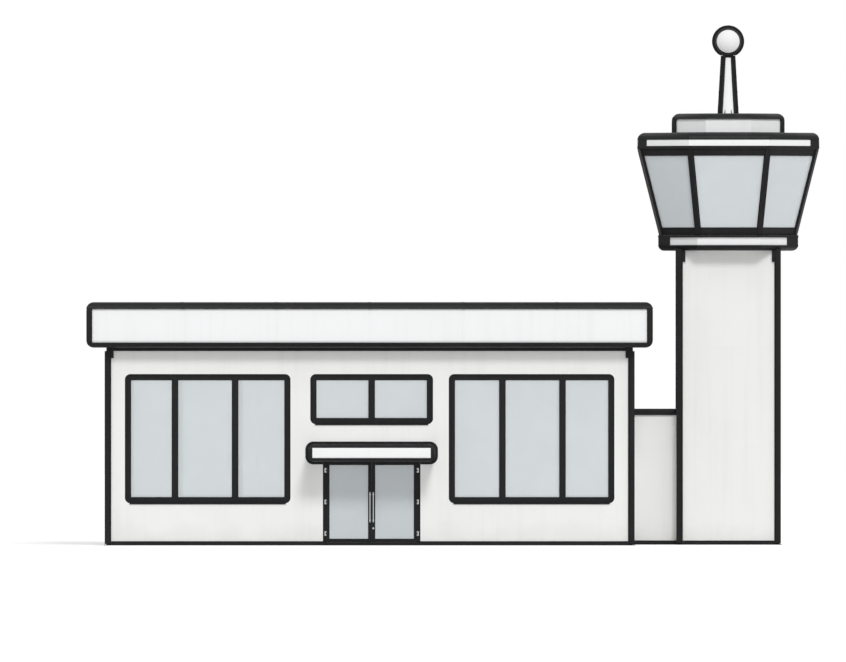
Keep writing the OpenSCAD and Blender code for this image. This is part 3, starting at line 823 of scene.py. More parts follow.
def block(low, high, bevel=0.003):
    """A box between two corners with its edges bevelled."""
    low, high = Vector(low), Vector(high)
    build = bmesh.new()
    bmesh.ops.create_cube(build, size=1.0)
    for vertex in build.verts:
        share = vertex.co + Vector((0.5, 0.5, 0.5))
        vertex.co = Vector([low[axis] + (high[axis] - low[axis]) * share[axis] for axis in range(3)])
    bmesh.ops.bevel(build, geom=build.edges[:], offset=bevel, segments=1, profile=0.5, affect="EDGES")
    build.verts.index_update()
    shape = [v.co.copy() for v in build.verts], [[v.index for v in f.verts] for f in build.faces]
    build.free()
    return shape


print("faces of a bevelled block:", len(block((0, 0, 0), (1, 1, 1))[1]))

# %% [markdown]
# loft joins sections that change on the way, such as those of a tapered duct. bolt is a hexagon head
# on a washer, made once for each size and placed many times. facing stands a flat thing up against
# a wall, whichever way the wall looks.

# %% Helpers for lofts, bolts and places
def loft(sections, closed=False):
    """Joins sections of equal point counts. Open lofts get flat ends."""
    points = [Vector(point) for section in sections for point in section]
    size = len(sections[0])
    faces = []
    pairs = len(sections) if closed else len(sections) - 1
    for run in range(pairs):
        here, there = run * size, (run + 1) % len(sections) * size
        for k in range(size):
            after = (k + 1) % size
            faces.append([here + k, here + after, there + after, there + k])
    if not closed:
        faces += [list(range(size)), list(range(len(points) - size, len(points)))]
    return points, faces


def bolt(size):
    """A hexagon head on a washer, standing on the origin. Size is the head's radius."""
    seat = size * 0.2
    top = size * 0.9
    washer = turned([(0, 0), (size * 1.6, 0), (size * 1.6, seat), (0, seat)], 16)
    head = turned([(0, seat), (size, seat), (size, size * 0.75), (size * 0.85, top), (0, top)], 6)
    return merge([washer, head])


def facing(origin, outwards):
    """Matrix that stands a flat thing up: its Z points outwards and its Y upwards."""
    normal = Vector(outwards).normalized()
    up = Vector((0, 0, 1))
    up = (up - normal * up.dot(normal)).normalized()
    along = up.cross(normal)
    matrix = Matrix((along, up, normal)).transposed().to_4x4()
    matrix.translation = Vector(origin)
    return matrix


print("faces of a bolt:", len(bolt(0.01)[1]))

# %% [markdown]
# The hall's roof edge is a deep band of concrete. A real one is dressed in folded sheet, and the
# first layer is white cladding up its face, in lengths of under three metres with open joints,
# because metal grows in the sun. One long strip with lines drawn on it would be quicker, but real
# gaps catch real shadows from every side. The panels stop short of the corners, which get covers.

# %% Clad the roof edge
ROOF_EDGE = "fascia_front_back"
roof_outline = rectangle(roof_low, roof_high)
ceiling_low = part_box("ceiling")[0]
deck_low, deck_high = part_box("roof_deck")
FASCIA_T = deck_low.x - roof_low.x
PANEL_LENGTH = 2.8
PANEL_JOINT = 0.012
PANEL_LIFTS = (0.001, 0.012)
PANEL_MARGIN = 0.03
CORNER_LEG = 0.115
panel_profile = edge_sheet(ROOF_EDGE, PANEL_LIFTS, PANEL_MARGIN, -PANEL_MARGIN)


def side_length(outline, side):
    """Length of one side of an outline."""
    return (Vector(outline[(side + 1) % len(outline)]) - Vector(outline[side])).length


panels = []
for side in range(4):
    length = side_length(roof_outline, side) - 2 * CORNER_LEG
    count = round(length / PANEL_LENGTH)
    for k in range(count):
        start = CORNER_LEG + length * k / count + PANEL_JOINT / 2
        stop = CORNER_LEG + length * (k + 1) / count - PANEL_JOINT / 2
        panels.append(sweep(stretch(roof_outline, side, start, stop), panel_profile))
make_piece("roof_edge_cladding", panels, "white_metal")

# %% [markdown]
# A black coping closes the top of the band. It is a folded metal box, five centimetres thick, on
# packers. It laps over the cladding outside, crosses the top and turns down behind, so that water
# drips clear of both faces. Its profile is the slab's edge line at two lifts, raised by the packers,
# with one more point for the inner fold. Short strips cover its joints, about every three metres.

# %% Lay the coping
COPING_BAND = 0.105
COPING_RISE = 0.035
LIP_DROP = 0.07
EDGE_IN = 0.0118
EDGE_OUT = 0.065
COVER_OUT = 0.068
COVER_LAP = 0.004
COVER_BACK = 0.02
COVER_HALF = 0.05
JOINT_SPACING = 3.0
roof_foot, FASCIA_H, FASCIA_ROUND, _ = EDGES[ROOF_EDGE]
folds = []
for lift in (EDGE_OUT, EDGE_IN):
    height = FASCIA_H + COPING_RISE
    line = edge_line(height, FASCIA_ROUND, FASCIA_ROUND, lift, FASCIA_T + lift, FASCIA_ROUND)
    inner_fold = (-FASCIA_T - lift, FASCIA_H - LIP_DROP)
    folds.append([inner_fold] + between(line, FASCIA_H - COPING_BAND, FASCIA_H + 1))
coping = [sweep(roof_outline, lifted(folds[0] + folds[1][::-1], roof_foot), closed=True)]
cover_lifts = (EDGE_OUT, COVER_OUT)
cover_foot = -COPING_BAND - COVER_LAP
cover_back = FASCIA_T - COVER_BACK
cover_profile = edge_sheet(ROOF_EDGE, cover_lifts, cover_foot, top_in=cover_back, rise=COPING_RISE)
for side in range(4):
    length = side_length(roof_outline, side)
    count = round(length / JOINT_SPACING)
    for k in range(1, count):
        middle = length * k / count
        run = stretch(roof_outline, side, middle - COVER_HALF, middle + COVER_HALF)
        coping.append(sweep(run, cover_profile))
make_piece("roof_coping", coping, "dark_metal")

# %% [markdown]
# Under the band runs a drip trim, which throws the last drops off before they reach the soffit, and
# each corner has a broad cover from trim to coping. Both follow the same edge, between other heights,
# and are about as thick as the coping, so the band is framed like a picture. The covers turn the
# corner on a path of three points, so their mitre comes by itself. SKIN is the half millimetre by
# which a part clears the surface under it, since two faces in one plane would flicker.

# %% Add the drip trim and the corner covers
DRIP_TOP = 0.085
DRIP_BACK = 0.01
CORNER_LAP = 0.03
CORNER_OUT = 0.058
SKIN = 0.0005
drip_profile = edge_sheet(ROOF_EDGE, (EDGE_IN, EDGE_OUT), high=DRIP_TOP, foot_in=FASCIA_T - DRIP_BACK)
make_piece("roof_drip_trim", [sweep(roof_outline, drip_profile, closed=True)], "dark_metal")
corner_profile = edge_sheet(
    ROOF_EDGE, (SKIN, CORNER_OUT), DRIP_TOP - CORNER_LAP, -COPING_BAND + CORNER_LAP
)
corners = [
    sweep(round_corner(roof_outline, k, CORNER_LEG, CORNER_LEG), corner_profile) for k in range(4)
]
make_piece("roof_corner_covers", corners, "dark_metal")

# %% [markdown]
# The flat roof is covered with welded membrane, which turns up inside the parapet over a small cant
# strip. It could be left to the shader, but the turned-up edge is what the tower looks down on, so
# it is geometry: one swept profile right round the deck.

# %% Turn the membrane up at the edge
CANT_REACH = 0.16
MEMBRANE_T = 0.006
MEMBRANE_UP = 0.008
CANT_H = 0.07
UPSTAND_LAP = 0.03
deck_outline = rectangle(deck_low, deck_high)
upstand_top = roof_high.z - deck_high.z - LIP_DROP + UPSTAND_LAP
cant = [
    (0.0, 0.0),
    (0.0, upstand_top),
    (-MEMBRANE_UP, upstand_top),
    (-MEMBRANE_UP, CANT_H),
    (-CANT_H, MEMBRANE_T),
    (-CANT_REACH, MEMBRANE_T),
    (-CANT_REACH, 0.0),
]
cant_run = sweep(deck_outline, lifted(cant, deck_high.z), closed=True)
make_piece("roof_membrane_upstand", [cant_run], "roof_membrane")

# %% [markdown]
# Membrane comes in rolls of about a metre and a half. Where two sheets overlap they are welded, and
# the weld is a strip one sheet higher. Each lap is a very thin bevelled block, which is enough for
# its edge to catch the light. It sinks a millimetre into the deck, so that no gap shows under it.

# %% Lay the laps
LAP_SPACING = 1.55
LAP_WIDTH = 0.09
LAP_T = 0.005
SINK = 0.001
SHEET_BEVEL = 0.002
deck_width = deck_high.x - deck_low.x
deck_depth = deck_high.y - deck_low.y
lap_count = int(deck_width / LAP_SPACING)
laps = []
for k in range(1, lap_count + 1):
    x = deck_low.x + deck_width * k / (lap_count + 1)
    low = (x - LAP_WIDTH / 2, deck_low.y + CANT_REACH, deck_high.z - SINK)
    high = (x + LAP_WIDTH / 2, deck_high.y - CANT_REACH, deck_high.z + LAP_T)
    laps.append(block(low, high, SHEET_BEVEL))
make_piece("roof_membrane_laps", laps, "roof_membrane")

# %% [markdown]
# Four drains take the rain off the deck. A drain has a clamping ring and a domed strainer that keeps
# leaves out. The ring and the dome's crown are turned. A rib is a small bar swept up a quarter
# circle and stood on end, and fourteen turned copies of it make the cage.

# %% Set the roof drains
DRAIN_R = 0.13
RIBS = 14
DRAIN_LIFT = 0.004
rib_angles = [math.radians(angle) for angle in range(4, 80, 15)]
rib_path = [(DRAIN_R * math.cos(angle), DRAIN_R * math.sin(angle)) for angle in rib_angles]
rib = sweep(rib_path, [(0.004, -0.004), (0.004, 0.004), (-0.006, 0.004), (-0.006, -0.004)])
strainer = [
    turned([(0.2, 0.0), (0.2, 0.008), (0.1, 0.014), (0.1, 0.0)], 32, closed=True),
    turned([(0, 0.128), (0.03, 0.128), (0.034, 0.136), (0.02, 0.142), (0, 0.143)], 16),
]
for k in range(RIBS):
    turn = Matrix.Rotation(2 * math.pi * k / RIBS, 4, "Z") @ Matrix.Rotation(math.pi / 2, 4, "X")
    strainer.append(moved(rib, turn))
strainer = merge(strainer)
drains = []
for x_share in (0.22, 0.78):
    for y_share in (0.25, 0.75):
        x = deck_low.x + deck_width * x_share
        y = deck_low.y + deck_depth * y_share
        drains.append(moved(strainer, Matrix.Translation((x, y, deck_high.z + DRAIN_LIFT))))
make_piece("roof_drains", drains, "steel")

# %% [markdown]
# Air reaches the roof's insulation through a vent strip in the soffit, halfway between the wall and
# the drip trim. It is a flat strip with four thin rails along it, all of them closed sweeps on one
# outline, each rail a little further out than the last.

# %% Fit a vent strip in the soffit
VENT_HALF = 0.035
VENT_T = 0.005
RAIL_HALF = 0.004
RAIL_DROP = 0.009
RAIL_OFFSETS = (-0.025, -0.0085, 0.0085, 0.025)
rail_top = -VENT_T + SINK
vent_outline = rectangle(hall_low, hall_high, (hall_low.x - ceiling_low.x) / 2)
vent_strip = [(-VENT_HALF, 0.0), (-VENT_HALF, -VENT_T), (VENT_HALF, -VENT_T), (VENT_HALF, 0.0)]
vent = [sweep(vent_outline, lifted(vent_strip, ceiling_low.z), closed=True)]
for offset in RAIL_OFFSETS:
    near, far = offset - RAIL_HALF, offset + RAIL_HALF
    rail = [(near, rail_top), (near, -RAIL_DROP), (far, -RAIL_DROP), (far, rail_top)]
    vent.append(sweep(vent_outline, lifted(rail, ceiling_low.z), closed=True))
make_piece("soffit_vents", vent, "dark_metal")

# %% [markdown]
# At the foot of the walls runs a low black plinth of folded metal, which keeps splashes off the white
# render. One closed path round the building would cut across the door and the link, so it is a list
# of straight lengths instead, each from one corner post to the next or to an opening. Every length
# sweeps the same profile, with a sloped top so that water runs off.

# %% Run the plinth round the walls
PLINTH_H = 0.125
PLINTH_T = 0.022
POST_LEG = 0.11
PLINTH_GAP = 0.003
plinth = [(0, 0.001), (PLINTH_T, 0.001), (PLINTH_T, PLINTH_H - 0.008), (0.012, PLINTH_H), (0, PLINTH_H)]
hall_outline = rectangle(hall_low, hall_high)
tower_outline = rectangle(tower_low, tower_high)
door_low, door_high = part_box("door_frame")
clear = POST_LEG + PLINTH_GAP
runs = [
    stretch(hall_outline, 0, clear, door_low.x - hall_low.x),
    stretch(hall_outline, 0, door_high.x - hall_low.x, -clear),
    stretch(hall_outline, 1, clear, link_low.y - hall_low.y - PLINTH_T),
    stretch(hall_outline, 1, link_high.y - hall_low.y + PLINTH_T, -clear),
    stretch(hall_outline, 2, clear, -clear),
    stretch(hall_outline, 3, clear, -clear),
    stretch(tower_outline, 0, clear, -clear),
    stretch(tower_outline, 1, clear, -clear),
    stretch(tower_outline, 2, clear, -clear),
    stretch(tower_outline, 3, clear, tower_high.y - link_high.y - PLINTH_T),
    stretch(tower_outline, 3, tower_high.y - link_low.y + PLINTH_T, -clear),
    [(link_low.x, link_low.y), (link_high.x, link_low.y)],
    [(link_high.x, link_high.y), (link_low.x, link_high.y)],
]
make_piece("plinth", [sweep(run, plinth) for run in runs], "dark_metal")

# %% [markdown]
# Each corner post stands on an angled base plate with anchor bolts, and its bracket at the top is
# bolted to both walls. The bolts are small, yet without them the post would look glued on. One bolt
# is modelled for each size, and the loop puts copies of it on both faces of all eight corners.

# %% Stand the posts on base plates and bolt them
POST_PROUD = 0.035
BRACKET_PROUD = 0.047
BRACKET_BOLT_IN = 0.09
PLATE_T = 0.012
PLATE_REACH = 0.075
plate = [
    (POST_PROUD, SKIN),
    (POST_PROUD + PLATE_REACH, SKIN),
    (POST_PROUD + PLATE_REACH, PLATE_T),
    (POST_PROUD, PLATE_T),
]
anchor = bolt(0.013)
head = bolt(0.014)
POSTS = [
    (hall_outline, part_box("hall_corner_posts")[1].z, (0.055, 0.155)),
    (tower_outline, tower_high.z, (0.08, 0.2, 0.32)),
]
plates, bolts = [], []
for outline, top, drops in POSTS:
    for k in range(4):
        plates.append(sweep(round_corner(outline, k, POST_LEG, POST_LEG), plate))
        before, here, after = outline[k - 1], outline[k], outline[(k + 1) % 4]
        corner = Vector(here)
        for neighbour, away in ((before, outward(before, here)), (after, outward(here, after))):
            along = (Vector(neighbour) - corner).normalized()
            spot = corner + along * (POST_LEG * 0.55) + away * (POST_PROUD + PLATE_REACH / 2)
            bolts.append(moved(anchor, Matrix.Translation((spot.x, spot.y, PLATE_T))))
            face = corner + along * BRACKET_BOLT_IN + away * BRACKET_PROUD
            for drop in drops:
                bolts.append(moved(head, facing((face.x, face.y, top - drop), (away.x, away.y, 0))))
make_piece("post_base_plates", plates, "dark_metal")
make_piece("post_bolts", bolts, "dark_metal")

# %% [markdown]
# Carts and vans scrape along corners, so each post wears a guard. It is a thick metal angle round the
# post's edge, from just above the base plate to its head. It could be part of the post, but a guard
# is bolted on so that it can be replaced. It is one more sweep round a corner, with a tall profile.

# %% Guard the posts
GUARD_LEG = 0.062
GUARD_T = 0.05
GUARD_FOOT = 0.04
GUARD_CHAMFER = 0.006
GUARD_SHORT = 0.002
guards = []
for outline, top, _ in POSTS:
    inner, outer = POST_PROUD + SKIN, POST_PROUD + GUARD_T
    guard = [
        (inner, GUARD_FOOT),
        (outer - GUARD_CHAMFER, GUARD_FOOT),
        (outer, GUARD_FOOT + GUARD_CHAMFER),
        (outer, top - GUARD_SHORT),
        (inner, top - GUARD_SHORT),
    ]
    guards += [sweep(round_corner(outline, k, GUARD_LEG, GUARD_LEG), guard) for k in range(4)]
make_piece("post_guards", guards, "dark_metal")

# %% [markdown]
# Render on a tall wall is laid in fields, with a bead between them where it may crack in a straight
# line. The tower gets two, at a third and two thirds of its height. They are slim and white: close
# up they throw a thin shadow, and from afar the shaft still looks plain.

# %% Lay joint beads in the tower's render
BEAD = [(-0.002, -0.008), (0.0, -0.008), (0.003, -0.004), (0.003, 0.004), (0.0, 0.008), (-0.002, 0.008)]
beads = []
for share in (1 / 3, 2 / 3):
    for side in range(4):
        run = stretch(tower_outline, side, clear, -clear)
        beads.append(sweep(run, lifted(BEAD, tower_high.z * share)))
make_piece("tower_joint_beads", beads, "wall_render")

# %% [markdown]
# A pane is held by seals, and they are what makes it look like real glass. Their path is the outline
# of the pane itself, and the cab's panes lean, so that outline could be worked out with angles. It
# is safer to read it off the solid: once the solid's faces are merged where they are flat, the two
# largest faces of each pane are its outer and inner face, however it leans. One node can hold several
# panes, so a helper first sorts the faces into groups that hang together.

# %% Find the panes
MERGE_DISTANCE = 0.00001


def islands(items, neighbours):
    """Groups of mesh items that hang together, each found by walking from item to item."""
    left = set(items)
    groups = []
    for first in items:
        if first not in left:
            continue
        left.remove(first)
        queue = [first]
        group = []
        while queue:
            item = queue.pop()
            group.append(item)
            for other in neighbours(item):
                if other in left:
                    left.remove(other)
                    queue.append(other)
        groups.append(group)
    return groups


def pane_faces(node, middle):
    """For each pane of a node, its outer and inner face, each as (points, normal)."""
    build = bmesh.new()
    build.from_mesh(frame["nodes"][node].data)
    bmesh.ops.remove_doubles(build, verts=build.verts, dist=MERGE_DISTANCE)
    bmesh.ops.dissolve_limit(build, angle_limit=math.radians(1), verts=build.verts, edges=build.edges)
    found = []
    for pane in islands(build.faces, lambda face: [f for edge in face.edges for f in edge.link_faces]):
        large = sorted(pane, key=lambda face: face.calc_area())[-2:]
        large.sort(key=lambda face: -(face.calc_center_median() - middle).xy.length)
        found.append([([v.co.copy() for v in face.verts], face.normal.copy()) for face in large])
    build.free()
    return found


hall_middle = (hall_low + hall_high) / 2
tower_middle = Vector((tower_x, tower_y, 0))
front_panes = pane_faces("front_window_glass", hall_middle)
print("front panes:", len(front_panes), "with", len(front_panes[0][0][0]), "points")

# %% [markdown]
# A seal lies in the plane of its pane. So the outline is turned flat, the profile is swept round it as
# round any outline on the ground, and the result is turned back up. The same matrix does both turns.

# %% Carry a profile round a pane
def flat_outline(points, normal):
    """A face's outline in its own plane, with the matrix that puts it back."""
    middle = sum(points, Vector()) / len(points)
    place = facing(middle, normal)
    back = place.inverted()
    return [tuple((back @ point).xy) for point in points], place


def ring_on(face, profile):
    """A closed profile carried round a face's outline. Out is away from its middle, up off its surface."""
    outline, place = flat_outline(*face)
    return moved(sweep(outline, profile, closed=True), place)


print("first pane's own middle:", [round(v, 2) for v in flat_outline(*front_panes[0][0])[1].translation])

# %% [markdown]
# Outside, a black rubber gasket presses on the pane. Inside, a white bead clips it in, and between its
# two sheets a bright spacer bar shows at the edge. Three small profiles make all of it, on every
# window, on the cab and on both doors, where the seals ride on the leaf and swing with it.

# %% Seal the panes
GASKET = [(0, 0), (0, 0.007), (-0.004, 0.009), (-0.015, 0.004), (-0.016, 0)]
INNER_BEAD = [(0, 0), (0, 0.022), (-0.012, 0.022), (-0.018, 0.016), (-0.02, 0)]
SPACER = [(-0.006, -0.02), (-0.006, -0.008), (-0.02, -0.008), (-0.02, -0.02)]
GLAZED = {
    "front_window_glass": ("building", hall_middle),
    "upper_window_glass": ("building", hall_middle),
    "back_window_glass": ("building", hall_middle),
    "end_window_glass": ("building", hall_middle),
    "left_door_glass": ("left_door", hall_middle),
    "right_door_glass": ("right_door", hall_middle),
    "cab_glass": ("building", tower_middle),
}
for node, (body, middle) in GLAZED.items():
    panes = pane_faces(node, middle)
    part = node.replace("_glass", "")
    gaskets = [ring_on(outer, GASKET) for outer, _ in panes]
    make_piece(part + "_gaskets", gaskets, "dark_metal", body, rubber)
    beads = [ring_on(inner, INNER_BEAD) for _, inner in panes]
    make_piece(part + "_inner_beads", beads, "white_metal", body)
    spacers = [ring_on(outer, SPACER) for outer, _ in panes]
    make_piece(part + "_spacers", spacers, "steel", body)

# %% [markdown]
# Each window sits in its opening with a bead of sealant round it. The opening has round corners, so
# the bead's path is a rounded rectangle. Its size comes from the box of each frame, and the radius
# from the frame's points along its top. Again one node can hold several frames, and the same helper
# parts them, this time by walking from point to point along the edges.

# %% Helpers for openings
CORNER_STEPS = 8


def rounded_rectangle(width, height, radius):
    """Outline with round corners about the origin, anticlockwise."""
    points = []
    for k, (x, y) in enumerate([(1, -1), (1, 1), (-1, 1), (-1, -1)]):
        for step in range(CORNER_STEPS + 1):
            angle = math.radians(-90 + 90 * k + 90 * step / CORNER_STEPS)
            centre = (x * (width / 2 - radius), y * (height / 2 - radius))
            points.append((centre[0] + radius * math.cos(angle), centre[1] + radius * math.sin(angle)))
    return points


def solid_boxes(node):
    """Lowest and highest corner of each separate solid of a node."""
    build = bmesh.new()
    build.from_mesh(frame["nodes"][node].data)
    bmesh.ops.remove_doubles(build, verts=build.verts, dist=MERGE_DISTANCE)
    solids = islands(build.verts, lambda vertex: [edge.other_vert(vertex) for edge in vertex.link_edges])
    found = [box_of([vertex.co for vertex in solid]) for solid in solids]
    build.free()
    return found


def wall_of(low, high):
    """Outward direction of the hall wall that a window is in."""
    middle = (low + high) / 2
    if high.x - low.x > high.y - low.y:
        return Vector((0, -1, 0)) if middle.y < hall_middle.y else Vector((0, 1, 0))
    return Vector((-1, 0, 0))


print("front window frames:", len(solid_boxes("front_window_frames")))

# %% [markdown]
# The bead fills the corner between render and frame, so its profile is a small triangle with a hollow
# face, as a wet finger leaves it. The cell also keeps each opening for the sills that come next.

# %% Seal the frames
frame_low, frame_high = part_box("upper_window_frame")
frame_points = [v.co for v in frame["nodes"]["upper_window_frame"].data.vertices]
FRAME_ROUND = min(p.x for p in frame_points if p.z > frame_high.z - SAME_LEVEL) - frame_low.x
SETBACK = frame_low.y - hall_low.y
SEALANT = [(0.001, -0.001), (0.001, 0.012), (-0.004, 0.005), (-0.012, 0.001), (-0.012, -0.001)]
FRAMED = ("front_window_frames", "upper_window_frame", "back_window_frames", "end_window_frame")
openings = []
sealant = []
for node in FRAMED:
    for low, high in solid_boxes(node):
        away = wall_of(low, high)
        width = max(high.x - low.x, high.y - low.y)
        depth = min(high.x - low.x, high.y - low.y)
        outer_face = (low + high) / 2 + away * (depth / 2)
        openings.append((outer_face, away, width, low.z))
        outline = rounded_rectangle(width, high.z - low.z, FRAME_ROUND)
        sealant.append(moved(sweep(outline, SEALANT, closed=True), facing(outer_face, away)))
make_piece("window_sealant", sealant, "dark_metal", material=rubber)
print("openings:", len(openings), "round by", round(FRAME_ROUND, 3), "set back", round(SETBACK, 3))

# %% [markdown]
# Under each window a folded metal sill carries the rain out over the render and drops it clear of the
# wall from a small lip. A plain slab would do from afar. The tray is a thin folded profile instead,
# swept straight along the opening, and an end plate closes it at both sides.

# %% Add the sills
TRAY_T = 0.003
TRAY_PROUD = 0.03
TRAY_DROP = 0.028
TRAY_MORE = 0.02
END_T = 0.003
END_IN = 0.05
END_OUT = 0.004
END_UP = 0.022
tray_back = -SETBACK - 0.002
tray = [
    (tray_back, 0.011),
    (TRAY_PROUD, 0.004),
    (TRAY_PROUD, -TRAY_DROP),
    (TRAY_PROUD - 0.01, -TRAY_DROP - 0.003),
    (TRAY_PROUD - 0.01, -TRAY_DROP),
    (TRAY_PROUD - TRAY_T, -TRAY_DROP + 0.001),
    (TRAY_PROUD - TRAY_T, 0.001),
    (tray_back, 0.008),
]
sills = []
for outer_face, away, width, foot in openings:
    wall_face = outer_face + away * SETBACK
    along = Vector((0, 0, 1)).cross(away)
    reach = along * (width / 2 - FRAME_ROUND + TRAY_MORE)
    sills.append(sweep([(wall_face - reach).xy, (wall_face + reach).xy], lifted(tray, foot)))
    for end in (wall_face - reach, wall_face + reach):
        inner = end - along * END_T - away * END_IN
        outer = end + along * END_T + away * (TRAY_PROUD + END_OUT)
        low, high = box_of([inner, outer])
        low.z, high.z = foot - TRAY_DROP, foot + END_UP
        sills.append(block(low, high, 0.001))
make_piece("window_sills", sills, "dark_metal")

# %% [markdown]
# The entrance gets the parts that a hand and a foot meet. A dark threshold caps the edge of the slab:
# a nosing down its face and a thin plate between the jambs. Its ribs stand less than four millimetres
# over the floor, so that the leaves clear it. Nosing and plate are sweeps, and the ribs low blocks.

# %% Measure the door and lay the threshold
floor_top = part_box("hall_floor")[1].z
JAMB_W = 0.09
RIBS_ACROSS = 5
RIB_START = 0.008
RIB_PITCH = 0.01
RIB_W = 0.004
inner_left = door_low.x + JAMB_W
inner_right = door_high.x - JAMB_W
nosing = [(0.0, 0.001), (0.006, 0.001), (0.006, floor_top + 0.002), (0.0, floor_top + 0.002)]
step_plate = [
    (0.006, floor_top + 0.0003),
    (0.006, floor_top + 0.002),
    (0.003, floor_top + 0.0026),
    (-0.19, floor_top + 0.0026),
    (-0.2, floor_top + 0.0003),
]
threshold = [
    sweep([(door_low.x + 0.001, hall_low.y), (door_high.x - 0.001, hall_low.y)], nosing),
    sweep([(inner_left + 0.001, hall_low.y), (inner_right - 0.001, hall_low.y)], step_plate),
]
for k in range(RIBS_ACROSS):
    y = hall_low.y + RIB_START + RIB_PITCH * k
    low = (inner_left + 0.01, y, floor_top + 0.002)
    high = (inner_right - 0.01, y + RIB_W, floor_top + 0.0036)
    threshold.append(block(low, high, 0.0005))
make_piece("door_threshold", threshold, "dark_metal")

# %% [markdown]
# Where the two leaves meet, each carries a soft seal, which rides on its own leaf. Two seals that fill
# the gap would press into each other, so each fills half of its own side of it, and the leaves stay
# free to swing.

# %% Seal the leaves' meeting edges
STILE_W = 0.085
HALF_GAP = 0.006
SEAL_T = 0.003
SEAL_IN = 0.014
SEAL_SHORT = 0.004
door_x = (door_low.x + door_high.x) / 2
door_face = door_low.y
pull_y = sum(corner.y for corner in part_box("left_door_pulls")) / 2
leaf_back = 2 * pull_y - door_face
glass_low, glass_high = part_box("left_door_glass")
leaf_foot = glass_low.z - STILE_W
leaf_head = glass_high.z + STILE_W
for body, side in (("left_door", -1), ("right_door", 1)):
    edges = sorted((door_x + side * HALF_GAP, door_x + side * (HALF_GAP - SEAL_T)))
    low = (edges[0], door_face + SEAL_IN, leaf_foot + SEAL_SHORT)
    high = (edges[1], leaf_back - SEAL_IN, leaf_head - SEAL_SHORT)
    make_piece(body + "_edge_seal", [block(low, high, 0.0008)], "dark_metal", body, rubber)
print("door middle", round(door_x, 3), "leaf", round(leaf_back - door_face, 3), "thick")

# %% [markdown]
# A pull bar ends in a small dome and stands on two arms, and a rose covers each arm's fixing. Domes
# and roses are round, so a lathe makes them in reality, and here turned does: one line each, spun
# round its axis. The bars' own boxes say where the arms and the ends are.

# %% Finish the pull bars
ROSE_R = 0.026
pulls = {body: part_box(body + "_pulls") for body in ("left_door", "right_door")}
pull_r = (pulls["left_door"][1].x - pulls["left_door"][0].x) / 2
rose = turned([(0, 0), (ROSE_R, 0), (ROSE_R, 0.003), (0.02, 0.006), (pull_r * 0.6, 0.007), (0, 0.007)])
dome = turned([(0.0, 0.008), (0.006, 0.0072), (0.012, 0.0045), (0.0155, 0.0), (0.0, -0.001)])
upside_down = Matrix.Rotation(math.pi, 4, "X")
arm_in = 4 * pull_r
for body, (low, high) in pulls.items():
    x = (low.x + high.x) / 2
    fittings = []
    for z in (low.z + arm_in, high.z - arm_in):
        fittings.append(moved(rose, facing((x, door_face, z), (0, -1, 0))))
        fittings.append(moved(rose, facing((x, leaf_back, z), (0, 1, 0))))
    for y in (low.y + pull_r, high.y - pull_r):
        fittings.append(moved(dome, Matrix.Translation((x, y, high.z))))
        fittings.append(moved(dome, Matrix.Translation((x, y, low.z)) @ upside_down))
    make_piece(body + "_pull_fittings", fittings, "steel", body)

# %% [markdown]
# The right leaf has the lock: a round escutcheon on both faces below the pull, with a dark key slot.
# Cutting a slot would need a boolean. A dark sliver that stands proud by half a millimetre reads the
# same at any distance and keeps the mesh clean.

# %% Fit the lock
LOCK_Z = floor_top + 0.42
LOCK_R = 0.03
LOCK_T = 0.012
lock_x = sum(corner.x for corner in pulls["right_door"]) / 2
escutcheon = turned(
    [(0, 0), (LOCK_R, 0), (LOCK_R, 0.004), (0.026, 0.008), (0.013, 0.009), (0.013, LOCK_T), (0, LOCK_T)],
    32,
)
key_slot = block((-0.0012, -0.006, LOCK_T - 0.0002), (0.0012, 0.006, LOCK_T + 0.0006), 0.0002)
lock_places = [facing((lock_x, y, LOCK_Z), (0, way, 0)) for y, way in ((door_face, -1), (leaf_back, 1))]
locks = [moved(escutcheon, place) for place in lock_places]
make_piece("right_door_lock", locks, "steel", "right_door")
slots = [moved(key_slot, place) for place in lock_places]
make_piece("right_door_key_slots", slots, "dark_metal", "right_door", rubber)

# %% [markdown]
# The hinges turn about the joints of the model, so the joints say where they are. Each pin gets a
# domed cap at both ends. Each plate gets three screws: those on the frame's plate ride on the
# building, and those on the leaf's plate ride on the leaf.

# %% Cap the hinges and screw them on
PLATE_MIDDLE = 0.03
PLATE_FACE = 0.004
NEAR_PIVOT = 0.06
SCREW = [(0, 0.0), (0.0045, 0.0), (0.0038, 0.0012), (0.0012, 0.0016), (0.0012, 0.0008), (0, 0.0008)]
CAP = [(0, 0.007), (0.004, 0.0062), (0.008, 0.003), (0.0105, 0), (0, -0.001)]
screw = turned(SCREW, 12)
hinge_cap = turned(CAP, 16)
caps = []
frame_screws = []
for joint in frame["joints"]:
    pivot = Vector(joint["pos_m"])
    side = -1 if pivot.x < door_x else 1
    leaf_screws = []
    for low, high in solid_boxes("door_hinges"):
        if abs((low.x + high.x) / 2 - pivot.x) > NEAR_PIVOT:
            continue
        caps.append(moved(hinge_cap, Matrix.Translation((pivot.x, pivot.y, high.z))))
        caps.append(moved(hinge_cap, Matrix.Translation((pivot.x, pivot.y, low.z)) @ upside_down))
        for share in (0.14, 0.5, 0.86):
            z = low.z + (high.z - low.z) * share
            for reach, found in ((PLATE_MIDDLE, frame_screws), (-PLATE_MIDDLE, leaf_screws)):
                spot = (pivot.x + side * reach, door_face - PLATE_FACE, z)
                found.append(moved(screw, facing(spot, (0, -1, 0))))
    make_piece(joint["child"] + "_hinge_screws", leaf_screws, "steel", joint["child"])
make_piece("hinge_caps", caps, "steel")
make_piece("hinge_frame_screws", frame_screws, "steel")

# %% [markdown]
# The canopy is a white slab rounded on its three free sides. A black trim turns over its top edge and
# another under its foot, and covers wrap its two outer corners. The path has four points, wall,
# corner, corner, wall, so the trims end at the wall as the real ones do.

